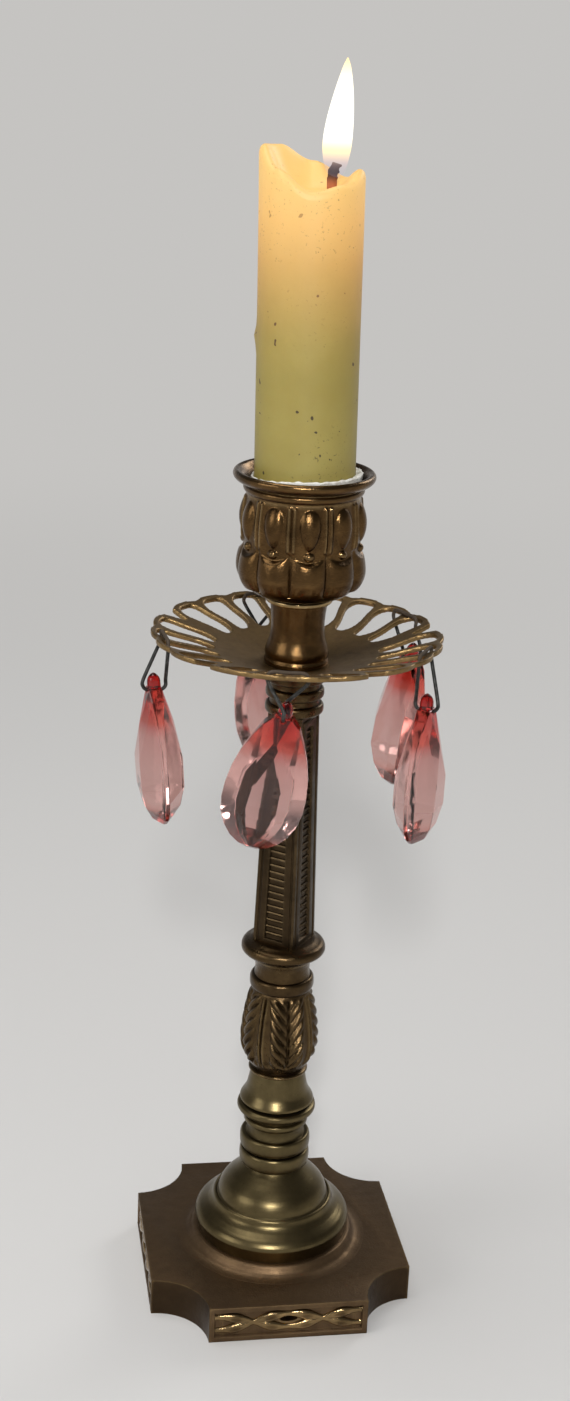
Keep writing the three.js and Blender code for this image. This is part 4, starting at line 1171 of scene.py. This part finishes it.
def make_candle():
    candle = turn([
        (0, 0), *smooth_line([(CANDLE_RADIUS - 0.5, 0), (CANDLE_RADIUS, 0.6)], 2),
        *((CANDLE_RADIUS, CANDLE_LENGTH * step / 40) for step in range(1, 40)),
        *smooth_line([
            (CANDLE_RADIUS, CANDLE_LENGTH - CANDLE_EDGE), (CANDLE_RADIUS - 0.35, CANDLE_LENGTH - 0.55),
            (CANDLE_RADIUS - 1.2, CANDLE_LENGTH), (CANDLE_RADIUS - 2.4, CANDLE_LENGTH - 0.05),
            (CANDLE_RADIUS - 4.5, CANDLE_LENGTH - 0.4), (3, CANDLE_LENGTH - 0.5),
        ], 8),
        (0, CANDLE_LENGTH - 0.5),
    ], CANDLE_SIDES)
    for vertex in candle.data.vertices:
        x, y, z = vertex.co / MM
        angle = degrees(atan2(y, x)) % 360
        share = hypot(x, y) / CANDLE_RADIUS
        upper = ease(CANDLE_LENGTH * 0.75, CANDLE_LENGTH, z)
        vertex.co.z += upper * rim_rise(angle) * ease(0.3, 0.92, share) * MM
        dent = 0.16 * sin(radians(3 * angle) + z / 9)
        dent += 0.1 * sin(radians(5 * angle) - z / 5)
        off = (angle + 180) % 360 - 180
        drip = DRIP_HEIGHT * hump(off, 7) * hump(z - DRIP_UP, 1.8)
        bulge = 1 + (upper * (0.07 + dent) + drip) * share / CANDLE_RADIUS
        vertex.co.x *= bulge
        vertex.co.y *= bulge
    candle.matrix_world = candle_place()
    settle(candle)
    smooth_by(candle, 60)
    fit(candle, "wax_candle", "candle_body", olive_wax, ["candle"])


def make_wick():
    pool = CANDLE_LENGTH - 0.6
    wick = strand(smooth_line([
        (WICK_X, 0, 1), (WICK_X, 0, pool - 2), (WICK_X, 0, pool + 1.5),
        (WICK_X - 0.25, 0.1, pool + 0.6 * WICK_RISE), (WICK_X - 0.9, 0.2, pool + WICK_RISE),
    ], 6), WICK_RADIUS, 12)
    for vertex in wick.data.vertices:
        up = vertex.co.z / MM - pool
        knot = 1 + 0.14 * sin(5 * up) * ease(0, 1, up)
        vertex.co.x = (WICK_X + (vertex.co.x / MM - WICK_X) * knot) * MM
        vertex.co.y *= knot
    wick.matrix_world = candle_place()
    settle(wick)
    fit(wick, "candle_wick", "candle_body", charred_wick, ["wick"])


def make_paper_ring():
    """Folded paper that packs the candle in the cup's mouth."""
    low, high = floor_of("candle_packing"), top_of("candle_packing")
    inner, outer = CANDLE_RADIUS + 0.1, CANDLE_RADIUS + 0.75
    rise = high - low
    ring = turn([
        (inner, 0.2), (outer - 0.3, 0.1), (outer, rise * 0.5), (outer + 0.1, rise * 0.9),
        (outer - 0.2, rise), (inner + 0.4, rise * 0.98), (inner, rise * 0.85),
    ], PAPER_SIDES, low)
    for vertex in ring.data.vertices:
        x, y, z = vertex.co / MM
        angle = degrees(atan2(y, x))
        crumple = 0.18 * sin(radians(23 * angle))
        crumple += 0.14 * sin(radians(37 * angle) + 1)
        facing = cos(radians(angle - PAPER_GATHER))
        gather = max(facing, 0) ** 2
        hidden = max(-facing, 0)
        share = ease(low, high, z)
        vertex.co.z += (crumple * 0.5 + 0.3 * gather - 0.3 - 1.3 * hidden) * share * MM
        fold = crumple * 0.4 + 0.75 * gather - 0.3 * hidden
        swell = 1 + fold * ease(inner, outer, hypot(x, y)) / outer
        vertex.co.x *= swell
        vertex.co.y *= swell
    smooth_by(ring, 25)
    fit(ring, "paper_ring", "candle_body", white_paper, ["candle_packing"])


def make_flame():
    """The flame as a bright teardrop round the wick."""
    flame = turn([
        (0, 0), *smooth_line([
            (0.6, 0.1), (1.7, 1.1), (2.5, 3.2), (2.95, 6), (3, 8.6), (2.75, 12), (2.25, 15.6), (1.6, 19),
            (0.85, 22), (0.15, 23.75),
        ], 6), (0, 23.95),
    ], FLAME_SIDES)
    for vertex in flame.data.vertices:
        up = vertex.co.z / MM
        vertex.co.x += FLAME_LEAN * ease(3, 26, up) * MM
        vertex.co.y *= FLAME_FLATNESS
    flame.rotation_euler.z = -radians(OBJECT_TURN)
    flame.location = candle_place() @ (Vector((WICK_X - 0.6, 0.1, CANDLE_LENGTH + 2.2)) * MM)
    settle(flame)
    smooth_by(flame, 80)
    fit(flame, "candle_flame", "candle_body", flame_light)


# Pendants

def pendant_angle(index):
    return PAN_TURN + index * 360 / LOBES + SPOKE_STEPS[index] * PETAL_ANGLE


def pendant_place(index):
    """Frame of a hanger: its seat on the spoke, X along the rim and Y outwards."""
    angle = pendant_angle(index)
    x, y = on_circle(HANG_RADIUS, angle)
    return Matrix.Translation(Vector((x, y, HANG_HEIGHT)) * MM) @ about_axis(angle - 90)


def wire_leg(index, side):
    """One leg of a hanger, from its seat down to the hole in the drop's head."""
    fall, reach, sway = WIRE_FALLS[index], WIRE_REACHES[index], WIRE_SWAYS[index]
    spread = HANG_RADIUS * sin(radians(PETAL_ANGLE / 2))
    bend = 2 * WIRE_RADIUS
    face = side * WIRE_TWISTS[index]
    far = reach + face * 6 * WIRE_RADIUS
    head = DROP_HOLE / 2 + 0.3 - fall
    return [
        (side * (spread - bend), 0, 0),
        (side * spread, 0, -bend),
        (side * spread, 0, -WIRE_PLUMB),
        ((sway + side * spread) / 2, far / 2, (head - WIRE_PLUMB) / 2),
        (sway, far, head),
        (sway, far, bend - fall),
        (sway, far - face * bend, -fall),
        (sway, reach + face * WIRE_CLASP, -fall),
    ]


def make_hanger(index):
    points = [*reversed(wire_leg(index, -1)), (0, 0, 0), *wire_leg(index, 1)]
    wire = strand(smooth_line(points, 5), WIRE_RADIUS, 10)
    wire.matrix_world = pendant_place(index)
    settle(wire)
    number = index + 1
    fit(wire, f"hanger_wire_{number}", f"hanger_{number}", dark_wire, [f"drop_wire_{number}"])


def drop_place(index):
    """Frame of a drop: its hole on its wire, leaning to the side and inwards."""
    return (
        pendant_place(index)
        @ Matrix.Translation(Vector((WIRE_SWAYS[index], WIRE_REACHES[index], -WIRE_FALLS[index])) * MM)
        @ about_axis(-DROP_TILTS[index], "X")
        @ about_axis(DROP_LEANS[index], "Y")
    )


def drop_corners():
    """Corners of the cut glass: a rounded girdle and a long kite-shaped table on both faces."""
    corners = []
    for depth, width, thickness in GIRDLE + TABLE:
        x, y = width * DROP_WIDTH / 2, thickness * DROP_THICKNESS / 2
        for side in (-1, 1):
            for face in (-1, 1):
                corners.append((side * x, face * y, DROP_HOLE - depth * DROP_LENGTH))
    return corners


def make_drop_pattern():
    """One drop, its hole at the origin."""
    drop = draw(drop_corners(), closed=False)
    bpy.ops.mesh.convex_hull()
    make_sound()
    round_edges(drop, DROP_EDGE, 1, FACET_ANGLE)
    head = turn([
        (0, -3.2), (DROP_HEAD, -3.2), (DROP_HEAD + 0.05, 0),
        *smooth_line([(DROP_HEAD, 2), (1.36, 2.6), (1.04, 3.15), (0.6, 3.6), (0.2, 3.84)], 4),
        (0, 3.88),
    ], HEAD_SIDES)
    combine(drop, head, "UNION")
    hole = begin(
        bpy.ops.mesh.primitive_cylinder_add, vertices=HOLE_SIDES, radius=(WIRE_RADIUS + HOLE_PLAY) * MM,
        depth=DROP_WIDTH * MM, rotation=(pi / 2, 0, 0),
    )
    settle(hole)
    combine(drop, hole, "DIFFERENCE")
    along = drop.data.attributes.new("along", "FLOAT", "POINT")
    for vertex, value in zip(drop.data.vertices, along.data):
        value.value = (DROP_HOLE - vertex.co.z / MM) / DROP_LENGTH
    return drop


def make_drops():
    places = [drop_place(index) for index in range(LOBES)]
    for number, drop in enumerate(copy_to(make_drop_pattern(), places), 1):
        smooth_by(drop, 7)
        nodes = [f"crystal_drop_{number}"]
        fit(drop, f"glass_drop_{number}", f"drop_{number}", pink_glass, nodes)


make_base_casting()
make_base_ornament()
make_foot()
make_spool()
make_baluster()
make_collar()
make_column()
make_cap()
make_pan()
make_cup()
make_candle()
make_wick()
make_paper_ring()
make_flame()
for pendant in range(LOBES):
    make_hanger(pendant)
make_drops()

for node in ("tie_rod", "base_washer", "base_nut"):
    for material_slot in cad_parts[node].material_slots:
        material_slot.material = steel


# Stage

def make_floor():
    floor = begin(bpy.ops.mesh.primitive_plane_add, size=FLOOR_SIZE)
    floor.name = "studio_floor"
    floor.data.materials.append(make_floor_finish())


def make_lamp(name, place, size, power):
    """A round soft lamp that faces the object's middle."""
    begin(bpy.ops.object.light_add, type="AREA", location=place)
    lamp = bpy.context.object
    lamp.name = name
    lamp.rotation_euler = (Vector(LAMP_AIM) - Vector(place)).to_track_quat("-Z", "Y").to_euler()
    lamp.data.shape = "DISK"
    lamp.data.size = size
    lamp.data.energy = power


def make_light():
    world = bpy.data.worlds.new("studio")
    world.use_nodes = True
    sky = Finish("studio_sky", world.node_tree)
    height = sky.part(sky.add("ShaderNodeTexCoord", out="Generated"), "Z")
    colour = sky.mix(height.rise(0.04, 0.4), BACKDROP, CEILING)
    background = world.node_tree.nodes["Background"]
    sky.put(background.inputs["Color"], colour)
    background.inputs["Strength"].default_value = 1.0
    bpy.context.scene.world = world
    for lamp in LAMPS:
        make_lamp(*lamp)


def make_camera():
    pitch, yaw, roll = (radians(angle) for angle in (CAMERA_PITCH, CAMERA_YAW, CAMERA_ROLL))
    ahead = Vector((sin(yaw) * cos(pitch), cos(yaw) * cos(pitch), -sin(pitch)))
    right = Vector((cos(yaw), -sin(yaw), 0))
    above = right.cross(ahead)
    across = cos(roll) * right + sin(roll) * above
    upright = cos(roll) * above - sin(roll) * right
    stand = Matrix((across, upright, -ahead)).transposed().to_4x4()
    stand.translation = Vector((0, -CAMERA_DISTANCE, CAMERA_HEIGHT)) * MM
    begin(bpy.ops.object.camera_add)
    camera = bpy.context.object
    camera.name = "photo_camera"
    camera.matrix_world = about_axis(-OBJECT_TURN) @ stand
    camera.data.sensor_fit = "VERTICAL"
    camera.data.sensor_height = SENSOR
    camera.data.lens = CAMERA_FOCUS * SENSOR / IMAGE_HEIGHT
    camera.data.clip_start = CAMERA_NEAR
    bpy.context.scene.camera = camera


make_floor()
make_light()
make_camera()
bpy.context.scene.view_settings.view_transform = "Standard"
